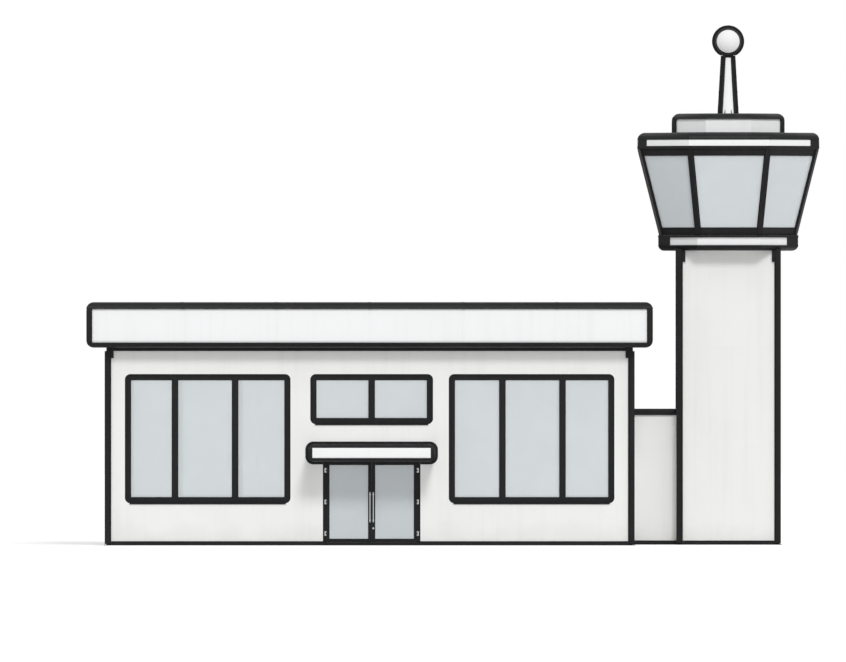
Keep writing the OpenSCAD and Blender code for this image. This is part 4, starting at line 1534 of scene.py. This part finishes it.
# %% Trim the canopy
CANOPY_BAND = 0.088
CANOPY_LEG = 0.12
CANOPY_LAP = 0.03
CANOPY_SHEET = (SKIN, 0.009)
CANOPY_COVER = (SKIN, 0.007)
CANOPY_TOP_IN = 0.05
CANOPY_FOOT_IN = 0.04
CANOPY_FOOT_BAND = CANOPY_BAND + 0.012
_, _, CANOPY_ROUND, _ = EDGES["canopy"]
canopy_outline = [
    (canopy_low.x, canopy_high.y),
    (canopy_low.x, canopy_low.y),
    (canopy_high.x, canopy_low.y),
    (canopy_high.x, canopy_high.y),
]
top_in = CANOPY_ROUND + CANOPY_TOP_IN
foot_in = CANOPY_ROUND + CANOPY_FOOT_IN
canopy_top = edge_sheet("canopy", CANOPY_SHEET, -CANOPY_BAND, top_in=top_in)
canopy_foot = edge_sheet("canopy", CANOPY_SHEET, high=CANOPY_FOOT_BAND, foot_in=foot_in)
canopy_trims = [sweep(canopy_outline, profile) for profile in (canopy_top, canopy_foot)]
make_piece("canopy_trims", canopy_trims, "dark_metal")
canopy_corner = edge_sheet(
    "canopy", CANOPY_COVER, CANOPY_BAND - CANOPY_LAP, -CANOPY_BAND + CANOPY_LAP
)
canopy_covers = [
    sweep(round_corner(canopy_outline, k, CANOPY_LEG, CANOPY_LEG), canopy_corner) for k in (1, 2)
]
make_piece("canopy_corner_covers", canopy_covers, "dark_metal")

# %% [markdown]
# Where the canopy meets the wall, a flat black bar frames it and hides the joint, as a cover plate
# does. Its path is the canopy's own outline on the wall, a rounded rectangle. It runs from one side
# of the door round to the other, and stops at the door frame, so that the leaves can swing.

# %% Frame the canopy on the wall
COVER_BAR_IN = 0.0095
COVER_BAR_OUT = 0.095
COVER_BAR_T = 0.01
COVER_BAR_BEVEL = 0.003
DOOR_GAP = 0.002
canopy_middle = (canopy_low + canopy_high) / 2
canopy_w = canopy_high.x - canopy_low.x
canopy_h = canopy_high.z - canopy_low.z
around = rounded_rectangle(canopy_w, canopy_h, CANOPY_ROUND)
around.insert(0, (door_high.x - canopy_middle.x + DOOR_GAP, -canopy_h / 2))
around.append((door_low.x - canopy_middle.x - DOOR_GAP, -canopy_h / 2))
cover_bar = [
    (COVER_BAR_IN, 0.0),
    (COVER_BAR_OUT, 0.0),
    (COVER_BAR_OUT, COVER_BAR_T - COVER_BAR_BEVEL),
    (COVER_BAR_OUT - COVER_BAR_BEVEL, COVER_BAR_T),
    (COVER_BAR_IN, COVER_BAR_T),
]
on_the_wall = facing((canopy_middle.x, hall_low.y, canopy_middle.z), (0, -1, 0))
make_piece("canopy_wall_frame", [moved(sweep(around, cover_bar), on_the_wall)], "dark_metal")

# %% [markdown]
# Water that runs down the wall would creep in behind the canopy, so a folded flashing covers that
# joint on top. It lies on the canopy and turns up in front of the bar, with a small cove at the fold.

# %% Flash the canopy
FLASHING_REACH = 0.12
FLASHING_H = 0.05
flashing = [
    (0.0, 0.0),
    (FLASHING_REACH, 0.0),
    (FLASHING_REACH, 0.004),
    (0.034, 0.009),
    (0.018, 0.022),
    (COVER_BAR_T + 0.004, FLASHING_H),
    (COVER_BAR_T + SKIN, FLASHING_H),
    (COVER_BAR_T + SKIN, 0.0085),
    (0.0, 0.0085),
]
canopy_back = [
    (canopy_low.x + CANOPY_ROUND, canopy_high.y),
    (canopy_high.x - CANOPY_ROUND, canopy_high.y),
]
flashing_run = sweep(canopy_back, lifted(flashing, canopy_high.z + SKIN))
make_piece("canopy_flashing", [flashing_run], "dark_metal")

# %% [markdown]
# Three small lights are set into the canopy's underside, a steel ring round a white lens each. They
# are flat enough for the open doors to pass under, and they don't shine, because the picture is a
# daytime one.

# %% Set lights into its underside
LIGHT_R = 0.075
LIGHT_DEPTH = 0.42
ring_line = [(LIGHT_R, 0.0), (LIGHT_R + 0.022, 0.0), (LIGHT_R + 0.02, 0.004), (LIGHT_R, 0.006)]
light_ring = turned(ring_line, 40, closed=True)
light_lens = turned([(0, SKIN), (LIGHT_R, SKIN), (LIGHT_R, 0.0035), (0, 0.0045)], 40)
light_y = canopy_low.y + (canopy_high.y - canopy_low.y) * LIGHT_DEPTH
light_rings = []
light_lenses = []
for share in (0.2, 0.5, 0.8):
    x = canopy_low.x + canopy_w * share
    place = Matrix.Translation((x, light_y, canopy_low.z)) @ upside_down
    light_rings.append(moved(light_ring, place))
    light_lenses.append(moved(light_lens, place))
make_piece("canopy_light_rings", light_rings, "steel")
make_piece("canopy_light_lenses", light_lenses, "white_metal")

# %% [markdown]
# The link has a flat roof between two higher walls. A thick black trim caps its front and back edges
# as a low kerb, and membrane covers the rest. The trim is again a sheet on the slab's edge, here a
# square one, so its rounds are zero and the same function still fits.

# %% Cover and trim the link
LINK_BAND = 0.128
LINK_TRIM_OUT = 0.06
TRIM_REACH = 0.13
TRIM_LAP = 0.005
LINK_GAP = 0.002
link_trim = edge_sheet("link_roof", (SKIN, LINK_TRIM_OUT), -LINK_BAND, top_in=TRIM_REACH)
link_runs = [
    [(link_low.x, link_low.y), (link_high.x, link_low.y)],
    [(link_high.x, link_high.y), (link_low.x, link_high.y)],
]
make_piece("link_roof_trims", [sweep(run, link_trim) for run in link_runs], "dark_metal")
cover_low = (link_low.x + LINK_GAP, link_low.y + TRIM_REACH - TRIM_LAP, link_high.z)
cover_high = (link_high.x - LINK_GAP, link_high.y - TRIM_REACH + TRIM_LAP, link_high.z + MEMBRANE_T)
make_piece("link_membrane", [block(cover_low, cover_high, SHEET_BEVEL)], "roof_membrane")

# %% [markdown]
# Where the link's roof meets the hall and the tower, the membrane turns up the wall and a black
# flashing clamps its upper edge. Both run along the same two lines, one on each wall.

# %% Turn the membrane up both walls
upstand = [
    (0.0, 0.004),
    (0.14, 0.004),
    (0.14, 0.01),
    (0.07, 0.012),
    (0.01, 0.07),
    (0.008, 0.16),
    (0.0, 0.16),
]
clamp_strip = [(0.0, 0.15), (0.012, 0.145), (0.014, 0.2), (0.004, 0.21), (0.0, 0.21)]
upstand_runs = [
    [(hall_high.x, link_low.y + TRIM_REACH), (hall_high.x, link_high.y - TRIM_REACH)],
    [(tower_low.x, link_high.y - TRIM_REACH), (tower_low.x, link_low.y + TRIM_REACH)],
]
upstands = [sweep(run, lifted(upstand, link_high.z)) for run in upstand_runs]
make_piece("link_upstands", upstands, "roof_membrane")
clamps = [sweep(run, lifted(clamp_strip, link_high.z)) for run in upstand_runs]
make_piece("link_flashings", clamps, "dark_metal")

# %% [markdown]
# The cab's floor, its roof and the cap on top are eight-sided slabs with rounded edges, and they are
# clad like the hall's roof. Their outlines could be drawn as regular octagons, but two of them
# aren't regular: the faces that look front, back, left and right are wider than a regular one's.
# So the outline is read from each solid: its half depth, and half the width of its front face.

# %% Read the outlines of the eight-sided slabs
def octagon(node):
    """Outline of an eight-sided slab, anticlockwise from the left end of its front face."""
    low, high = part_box(node)
    half = (high.y - low.y) / 2
    points = [v.co for v in frame["nodes"][node].data.vertices]
    face = max(p.x - tower_x for p in points if p.y < low.y + 0.001)
    turns = [(-face, -half), (face, -half), (half, -face), (half, face)]
    turns += [(-x, -y) for x, y in turns]
    print(node, "half depth", round(half, 3), "half face", round(face, 3))
    return [(tower_x + x, tower_y + y) for x, y in turns]


floor_outline = octagon("cab_floor")
eaves_outline = octagon("cab_roof")
cap_outline = octagon("roof_cap")

# %% [markdown]
# The cab's floor has a band of white cladding between two black trims. The slab could be painted in
# bands, but then black and white would be flush, and no shadow would part them. So the cladding is
# a folded sheet on the slab's edge, and the trims lap over its two edges. They stand six centimetres
# out from the slab, like bumpers, which gives its outline weight.

# %% Clad and trim the cab's floor
FLOOR_FOOT_BAND = 0.105
FLOOR_TOP_BAND = 0.07
LAP = 0.03
CLAD = (SKIN, 0.012)
CLAD_DROP = 0.012
FLOOR_TRIM_OUT = 0.06
FLOOR_TRIM_IN = 0.3
FLOOR_TRIM_DROP = 0.001
floor_clad = edge_sheet("cab_floor", CLAD, FLOOR_FOOT_BAND - LAP, -CLAD_DROP)
make_piece("cab_floor_cladding", [sweep(floor_outline, floor_clad, closed=True)], "white_metal")
floor_trims = [
    sweep(floor_outline, profile, closed=True)
    for profile in (
        edge_sheet("cab_floor", (EDGE_IN, FLOOR_TRIM_OUT), high=FLOOR_FOOT_BAND, foot_in=FLOOR_TRIM_IN),
        edge_sheet("cab_floor", (SKIN, FLOOR_TRIM_OUT), -FLOOR_TOP_BAND, -FLOOR_TRIM_DROP),
    )
]
make_piece("cab_floor_trims", floor_trims, "dark_metal")

# %% [markdown]
# The cab's roof is dressed the same way, but with thin sheet, because nothing here may stand out far
# beyond the eaves. Its coping lies on packers and runs in over the round edge to the membrane.

# %% Clad and trim the cab's roof
EAVES_FOOT_BAND = 0.115
EAVES_TOP_BAND = 0.135
EAVES_RISE = 0.06
EAVES_TRIM = (EDGE_IN, 0.019)
EAVES_TOP_IN = 0.08
EAVES_FOOT_IN = 0.01
_, _, EAVES_ROUND, EAVES_FOOT_ROUND = EDGES["cab_roof"]
eaves_in = EAVES_ROUND + EAVES_TOP_IN
foot_in = EAVES_FOOT_ROUND + EAVES_FOOT_IN
eaves_clad = edge_sheet("cab_roof", CLAD, EAVES_FOOT_BAND - LAP, -EAVES_TOP_BAND + LAP)
make_piece("cab_roof_cladding", [sweep(eaves_outline, eaves_clad, closed=True)], "white_metal")
eaves_trims = [
    sweep(eaves_outline, profile, closed=True)
    for profile in (
        edge_sheet("cab_roof", EAVES_TRIM, -EAVES_TOP_BAND, top_in=eaves_in, rise=EAVES_RISE),
        edge_sheet("cab_roof", EAVES_TRIM, high=EAVES_FOOT_BAND, foot_in=foot_in),
    )
]
make_piece("cab_roof_trims", eaves_trims, "dark_metal")

# %% [markdown]
# Broad black covers close the left and right ends of all three slabs, where the outline is widest. In
# a straight front view they draw the ends of each slab as bold dark strokes. Every cover turns one
# corner, with a long leg on the slanting side and a short one on the side face.

# %% Close the ends with broad covers
FLOOR_COVER = (0.0125, 0.05)
EAVES_COVER = (0.0125, 0.017)
FLAT_LEG = 0.11
FLOOR_LEG = 0.42
EAVES_LEG = 0.37
END_LAP = 0.02
FLOOR_COVER_DROP = 0.015


def end_covers(outline, slant_leg, profile):
    """Covers on the four corners beside an eight-sided slab's right and left faces."""
    legs = {2: (slant_leg, FLAT_LEG), 3: (FLAT_LEG, slant_leg)}
    legs.update({corner + 4: pair for corner, pair in list(legs.items())})
    return [sweep(round_corner(outline, k, *pair), profile) for k, pair in legs.items()]


floor_cover = edge_sheet("cab_floor", FLOOR_COVER, FLOOR_FOOT_BAND - END_LAP, -FLOOR_COVER_DROP)
make_piece("cab_floor_covers", end_covers(floor_outline, FLOOR_LEG, floor_cover), "dark_metal")
eaves_cover = edge_sheet("cab_roof", EAVES_COVER, EAVES_FOOT_BAND - END_LAP, -EAVES_TOP_BAND + END_LAP)
make_piece("cab_roof_covers", end_covers(eaves_outline, EAVES_LEG, eaves_cover), "dark_metal")

# %% [markdown]
# The cap is a smaller slab on the cab's roof. It has a thick coping and end covers, and at its foot a
# flashing with a cove, which keeps water out of the joint between the two.

# %% Dress the cap
CAP_BAND = 0.11
CAP_TRIM_OUT = 0.06
CAP_TRIM_IN = 0.05
CAP_COVER = (0.003, 0.05)
CAP_COVER_FOOT = 0.08
CAP_LEG = 0.125
cap_top_in = EDGES["roof_cap"][2] + CAP_TRIM_IN
cap_coping = edge_sheet("roof_cap", (SKIN, CAP_TRIM_OUT), -CAP_BAND, top_in=cap_top_in)
cap_foot = [
    (0.0, 0.0),
    (0.05, 0.0),
    (0.05, 0.004),
    (0.024, 0.01),
    (0.012, 0.022),
    (0.009, 0.09),
    (0.0, 0.094),
]
cap_trims = [
    sweep(cap_outline, cap_coping, closed=True),
    sweep(cap_outline, lifted(cap_foot, cap_low.z + SKIN), closed=True),
]
make_piece("cap_trims", cap_trims, "dark_metal")
cap_cover = edge_sheet("roof_cap", CAP_COVER, CAP_COVER_FOOT, -CAP_BAND + END_LAP)
make_piece("cap_covers", end_covers(cap_outline, CAP_LEG, cap_cover), "dark_metal")

# %% [markdown]
# Between the coping and the cap lies roof membrane. It rises over a small kerb at the coping, so that
# water can't run under it, and it ends below the cap's flashing. The outline of the eaves carries it,
# with a profile that reaches inwards.

# %% Cover the cab's roof with membrane
COVER_START = -EAVES_ROUND - 0.075
COVER_END = -1.115
KERB_H = EAVES_RISE + 0.0125
KERB_W = 0.02
KERB_REACH = 0.07
cover_ring = [
    (COVER_START, -SINK),
    (COVER_START, KERB_H),
    (COVER_START - KERB_W, KERB_H),
    (COVER_START - KERB_REACH, LAP_T),
    (COVER_END, LAP_T),
    (COVER_END, -SINK),
]
cab_cover = sweep(eaves_outline, lifted(cover_ring, eaves_high.z), closed=True)
make_piece("cab_roof_membrane", [cab_cover], "roof_membrane")

# %% [markdown]
# The mast is a tapered tube on a bolted flange. What is fixed to it has to follow the taper, so its
# radius is measured at the foot and at the head, and a function gives it at any height between.

# %% Measure the mast
FLANGE_T = 0.03
radii = [
    (Vector((v.co.x - tower_x, v.co.y - tower_y)).length, v.co.z)
    for v in frame["nodes"]["mast"].data.vertices
]
flange_top = mast_low.z + FLANGE_T
FLANGE_R = max(radius for radius, _ in radii)
HEAD_R = max(radius for radius, z in radii if z > mast_high.z - 0.001)
FOOT_R = min(radius for radius, z in radii if abs(z - flange_top) < 0.001 and radius > 0.05)
axis = Matrix.Translation((tower_x, tower_y, 0))


def mast_radius(z):
    """Radius of the mast at a height."""
    share = (z - flange_top) / (mast_high.z - flange_top)
    return FOOT_R + (HEAD_R - FOOT_R) * share


print("mast radius", round(FOOT_R, 3), "to", round(HEAD_R, 3), "flange", round(FLANGE_R, 3))

# %% [markdown]
# Two black cable ducts run up the mast's left and right sides. Each is a box on a curved saddle that
# hugs the tube. A swept profile keeps its size, and these don't: the tube gets slimmer, and the
# saddle wraps further round it towards the top. So both are lofts between sections at different
# heights, written for the right side and turned half a turn for the left.

# %% Sections of a cable duct
SADDLE_T = 0.01
SADDLE_FOOT_ANGLE = 47
SADDLE_HEAD_ANGLE = 60
DUCT_PROUD = 0.075
DUCT_HALF = 0.055
DUCT_NIP = 0.012


def saddle_section(z):
    """Curved saddle on the mast's right side at a height."""
    inner = mast_radius(z) + 0.001
    outer = inner + SADDLE_T
    share = (z - mast_low.z) / (mast_high.z - mast_low.z)
    reach = math.radians(SADDLE_FOOT_ANGLE + (SADDLE_HEAD_ANGLE - SADDLE_FOOT_ANGLE) * share)
    turns = [reach * (k / 5 - 1) for k in range(11)]
    rim = [(outer * math.cos(a), outer * math.sin(a), z) for a in turns]
    return rim + [(inner * math.cos(a), inner * math.sin(a), z) for a in reversed(turns)]


def duct_section(z, grow=0.0):
    """Box duct on the saddle, with nipped outer corners."""
    near = mast_radius(z) * 0.93 - grow
    far = mast_radius(z) + DUCT_PROUD + grow
    half = DUCT_HALF + grow
    side = [(near, half), (far - DUCT_NIP, half), (far, half - DUCT_NIP)]
    flat = [(x, -y) for x, y in side] + side[::-1]
    return [(x, y, z) for x, y in flat]


print("points of a saddle:", len(saddle_section(mast_low.z)), "of a duct:", len(duct_section(mast_low.z)))

# %% [markdown]
# Each duct then runs from foot to head, with a strap round it at four heights. The saddle bends with
# the tube, so its loft has a section at every level, and the straight box needs only two.

# %% Run cable ducts up the mast
STRAP_HALF = 0.02
STRAP_T = 0.004
DUCT_FOOT_GAP = 0.012
DUCT_HEAD_GAP = 0.04
DUCT_STEPS = 8
STRAP_SHARES = (0.12, 0.38, 0.64, 0.9)
duct_foot = flange_top + DUCT_FOOT_GAP
duct_head = mast_high.z - DUCT_HEAD_GAP
duct_rise = duct_head - duct_foot
levels = [duct_foot + duct_rise * k / DUCT_STEPS for k in range(DUCT_STEPS + 1)]
saddle = loft([saddle_section(z) for z in levels])
one_side = [saddle, loft([duct_section(z) for z in (duct_foot, duct_head)])]
for share in STRAP_SHARES:
    z = duct_foot + duct_rise * share
    one_side.append(loft([duct_section(level, STRAP_T) for level in (z - STRAP_HALF, z + STRAP_HALF)]))
one_side = merge(one_side)
ducts = [moved(one_side, axis @ Matrix.Rotation(turn, 4, "Z")) for turn in (0, math.pi)]
make_piece("mast_cable_ducts", ducts, "dark_metal")

# %% [markdown]
# The wind pushes on the ball, and the mast's foot has to hold against it. Eight gussets stiffen the
# joint between tube and flange, and eight bolts between them hold the flange down. A gusset is a
# flat plate, so it is a loft between its own outline and the same outline a plate's thickness away.

# %% Stiffen and bolt the mast's foot
GUSSETS = 8
GUSSET_T = 0.012
GUSSET_H = 0.14
rim_x = FLANGE_R - 0.008
head_x = mast_radius(flange_top + GUSSET_H) - 0.006
gusset_outline = [
    (mast_radius(flange_top) - 0.004, flange_top + SKIN),
    (rim_x, flange_top + SKIN),
    (rim_x, flange_top + 0.012),
    (head_x + 0.014, flange_top + GUSSET_H),
    (head_x, flange_top + GUSSET_H),
]
gusset = loft([[(x, y, z) for x, z in gusset_outline] for y in (-GUSSET_T / 2, GUSSET_T / 2)])
foot_bolt = moved(bolt(0.012), Matrix.Translation((FLANGE_R - 0.026, 0, flange_top)))
gussets = []
flange_bolts = []
for k in range(GUSSETS):
    turn = 2 * math.pi * k / GUSSETS
    gussets.append(moved(gusset, axis @ Matrix.Rotation(turn + math.pi / GUSSETS, 4, "Z")))
    flange_bolts.append(moved(foot_bolt, axis @ Matrix.Rotation(turn, 4, "Z")))
make_piece("mast_gussets", gussets, "dark_metal")
make_piece("mast_flange_bolts", flange_bolts, "steel")

# %% [markdown]
# The ball is a radome, a thin shell in two halves, front and back. They meet at a flange that runs
# round the ball over a broad black band of sealing tape. Seen from the front, band and flange draw
# the ball's dark ring. A torus would be quicker, but it wouldn't lie on the ball. Both parts are
# lofts of one section turned about the ball's own middle.

# %% Helper for rings on the ball
BALL_R = (ball_high.x - ball_low.x) / 2
ball_z = ball_high.z - BALL_R


def round_ball(section, start, stop, steps, closed=False):
    """Loft of (radius, y) sections round the ball's middle, from one angle to another."""
    sections = []
    for k in range(steps + 1):
        angle = math.radians(start + (stop - start) * k / steps)
        across, up = math.cos(angle), math.sin(angle)
        sections.append([(tower_x + r * across, tower_y + y, ball_z + r * up) for r, y in section])
    return loft(sections, closed)


print("ball radius", round(BALL_R, 3), "middle at", round(ball_z, 3))

# %% [markdown]
# The tape is a band that lies on the ball, so its section is two arcs, one just above the shell and
# one just inside it. The flange stands up from the tape with a groove between its two halves, and
# it stops short of the mast on both sides.

# %% Lay the tape and the flange
BAND_HALF = 0.232
FLANGE_PROUD = 0.07
FLANGE_HALF = 0.028
FLANGE_GAP = 29
widths = [BAND_HALF * (k / 8 - 1) for k in range(17)]
tape = [(math.sqrt((BALL_R + 0.005) ** 2 - y * y), y) for y in widths]
tape += [(math.sqrt((BALL_R - 0.001) ** 2 - y * y), y) for y in reversed(widths)]
rim = BALL_R + FLANGE_PROUD
flange_front = [
    (BALL_R + 0.002, -FLANGE_HALF),
    (rim - 0.006, -FLANGE_HALF),
    (rim, -FLANGE_HALF + 0.006),
    (rim, -0.004),
]
flange_section = flange_front + [(rim - 0.008, 0.0)] + [(r, -y) for r, y in reversed(flange_front)]
ring_start, ring_stop = -90 + FLANGE_GAP, 270 - FLANGE_GAP
ball_rings = [
    round_ball(tape, -90, 262.5, 47, closed=True),
    round_ball(flange_section, ring_start, ring_stop, 96),
]
make_piece("radome_flange", ball_rings, "dark_metal")

# %% [markdown]
# Bolts clamp the two halves of the flange, one every twelve degrees, with a head on both sides.

# %% Bolt the flange
RIM_BOLT_STEP = 12
rim_bolt = bolt(0.011)
bolt_radius = BALL_R + FLANGE_PROUD * 0.55
radome_bolts = []
for angle in range(ring_start + RIM_BOLT_STEP // 2, ring_stop, RIM_BOLT_STEP):
    across = bolt_radius * math.cos(math.radians(angle))
    up = bolt_radius * math.sin(math.radians(angle))
    for side in (-1, 1):
        spot = (tower_x + across, tower_y + side * FLANGE_HALF, ball_z + up)
        radome_bolts.append(moved(rim_bolt, facing(spot, (0, side, 0))))
make_piece("radome_bolts", radome_bolts, "dark_metal")

# %% [markdown]
# The ball sits in a shallow cup on a collar at the mast's head. The cup is as wide as the gap in the
# ball's flange, so ring and cup close to one dark line, and its inner side lies against the ball. All
# of it is turned from one closed line, and twelve small bolts hold the cup from below.

# %% Seat the ball in its cup
COLLAR_H = 0.1
CUP_R = HEAD_R + 0.09
CUP_H = 0.042
COLLAR_BOLTS = 12
top = mast_high.z
collar_foot = top - COLLAR_H
collar_line = [
    (mast_radius(collar_foot), collar_foot),
    (mast_radius(collar_foot) + 0.014, collar_foot + 0.006),
    (HEAD_R + 0.014, top - 0.04),
    (HEAD_R + 0.03, top - 0.03),
    (CUP_R, top - 0.026),
    (CUP_R, top + CUP_H - 0.006),
    (CUP_R - 0.006, top + CUP_H),
    (CUP_R - 0.02, top + 0.034),
    (HEAD_R + 0.002, top + 0.002),
    (HEAD_R - 0.002, top - 0.01),
]
collar = [moved(turned(collar_line, 48, closed=True), axis)]
collar_bolt = moved(bolt(0.008), Matrix.Translation((HEAD_R + 0.062, 0, top - 0.028)) @ upside_down)
for k in range(COLLAR_BOLTS):
    turn = 2 * math.pi * (k + 0.5) / COLLAR_BOLTS
    collar.append(moved(collar_bolt, axis @ Matrix.Rotation(turn, 4, "Z")))
make_piece("radome_collar", collar, "dark_metal")

# %% [markdown]
# The drawing is a straight elevation: no line in it runs to a vanishing point. An orthographic camera
# would give that, but a real camera far away with a very long lens comes as close as the eye can
# tell, and it can be moved for other views like any camera. It looks level along +Y. Its aim and
# width are set so that one pixel of the drawing is 30 mm on a plane a little behind the front wall,
# between the hall and the tower.

# %% Set up the camera
LENS = 1300.0
SENSOR = 36.0
PICTURE_WIDTH = 25.38
AIM_X = -0.937
AIM_Z = 6.42
BEHIND_FRONT = 1.6
camera_data = bpy.data.cameras.new("elevation_camera")
camera_data.lens = LENS
camera_data.sensor_width = SENSOR
camera = bpy.data.objects.new("elevation_camera", camera_data)
bpy.context.scene.collection.objects.link(camera)
distance = PICTURE_WIDTH * LENS / SENSOR
camera.location = (AIM_X, hall_low.y + BEHIND_FRONT - distance, AIM_Z)
camera.rotation_euler = (math.radians(90), 0, 0)
camera_data.clip_start = 1.0
camera_data.clip_end = distance * 4
bpy.context.scene.camera = camera
print("camera distance:", round(distance, 1))

# %% [markdown]
# The backdrop should be plain white in the picture, but a white world of full strength would wash out
# the white walls. Light Path tells a shader which kind of ray is asking, so the world and the floor
# can show one level to the camera and to reflections, and light the building at another.

# %% Helper that tells rays apart
def seen_rays(tree, *kinds):
    """1 for the kinds of ray that are named, 0 for all others."""
    rays = add_node(tree, "ShaderNodeLightPath")
    seen = rays.outputs[kinds[0]]
    for kind in kinds[1:]:
        either = add_node(tree, "ShaderNodeMath", {0: seen, 1: rays.outputs[kind]}, operation="MAXIMUM")
        seen = either.outputs[0]
    return seen


print("the world and the floor can now tell rays apart")

# %% [markdown]
# The light is a soft studio: a pale world from all round and one broad sun from the upper right, so
# that the link, which lies back between the hall and the tower, isn't in the hall's shadow. Area
# lamps would do for a small object, but for a building over twenty metres wide they'd have to be huge.
# The Standard view shows a colour as it is written, without a film look.

# %% Light the studio
WORLD_LIGHT = 0.68
SUN_LIGHT = 1.3
SUN_SOFTNESS = 14
SUN_TILT = 50
SUN_TURN = 12
world = bpy.data.worlds.new("studio")
bpy.context.scene.world = world
world.use_nodes = True
sky = world.node_tree
sky.nodes.clear()
seen = seen_rays(sky, "Is Camera Ray", "Is Glossy Ray", "Is Transmission Ray")
level = add_node(
    sky, "ShaderNodeMapRange", {"Value": seen, "To Min": WORLD_LIGHT, "To Max": 1.0}
)
air = add_node(sky, "ShaderNodeBackground", {"Color": (1, 1, 1, 1), "Strength": level.outputs["Result"]})
add_node(sky, "ShaderNodeOutputWorld", {"Surface": air.outputs[0]})
sun_data = bpy.data.lights.new("soft_sun", "SUN")
sun_data.energy = SUN_LIGHT
sun_data.angle = math.radians(SUN_SOFTNESS)
sun = bpy.data.objects.new("soft_sun", sun_data)
sun.rotation_euler = (math.radians(SUN_TILT), 0, math.radians(SUN_TURN))
bpy.context.scene.collection.objects.link(sun)
bpy.context.scene.view_settings.view_transform = "Standard"
print("world", WORLD_LIGHT, "sun", SUN_LIGHT)

# %% [markdown]
# The floor is one large pale sheet. A plain white one would turn grey towards the edges, because it
# only gets the light of the lamps. A little glow, shown to the camera and to mirrors alone, lifts it
# to the white of the backdrop, and the building's soft shadow still falls on it.

# %% Lay the studio floor
FLOOR_SIZE = 900.0
FLOOR_GLOW = 0.3
FLOOR_DROP = 0.002
floor_mesh = bpy.data.meshes.new("studio_floor")
edge = FLOOR_SIZE / 2
floor_corners = [(-edge, -edge, 0), (edge, -edge, 0), (edge, edge, 0), (-edge, edge, 0)]
floor_mesh.from_pydata(floor_corners, [], [(0, 1, 2, 3)])
floor = bpy.data.objects.new("studio_floor", floor_mesh)
floor.location.z = -FLOOR_DROP
bpy.context.scene.collection.objects.link(floor)
floor_paint = bpy.data.materials.new("studio_floor")
floor_paint.use_nodes = True
paint = floor_paint.node_tree
paint.nodes.clear()
floor_seen = seen_rays(paint, "Is Camera Ray", "Is Glossy Ray")
floor_glow = add_node(paint, "ShaderNodeMath", {0: floor_seen, 1: FLOOR_GLOW}, operation="MULTIPLY")
matt = add_node(paint, "ShaderNodeBsdfDiffuse", {"Color": (0.82, 0.82, 0.82, 1)})
glow = add_node(
    paint, "ShaderNodeEmission", {"Color": (1, 1, 1, 1), "Strength": floor_glow.outputs[0]}
)
both = add_node(paint, "ShaderNodeAddShader", {0: matt.outputs[0], 1: glow.outputs[0]})
add_node(paint, "ShaderNodeOutputMaterial", {"Surface": both.outputs[0]})
floor.data.materials.append(floor_paint)
print("floor laid")
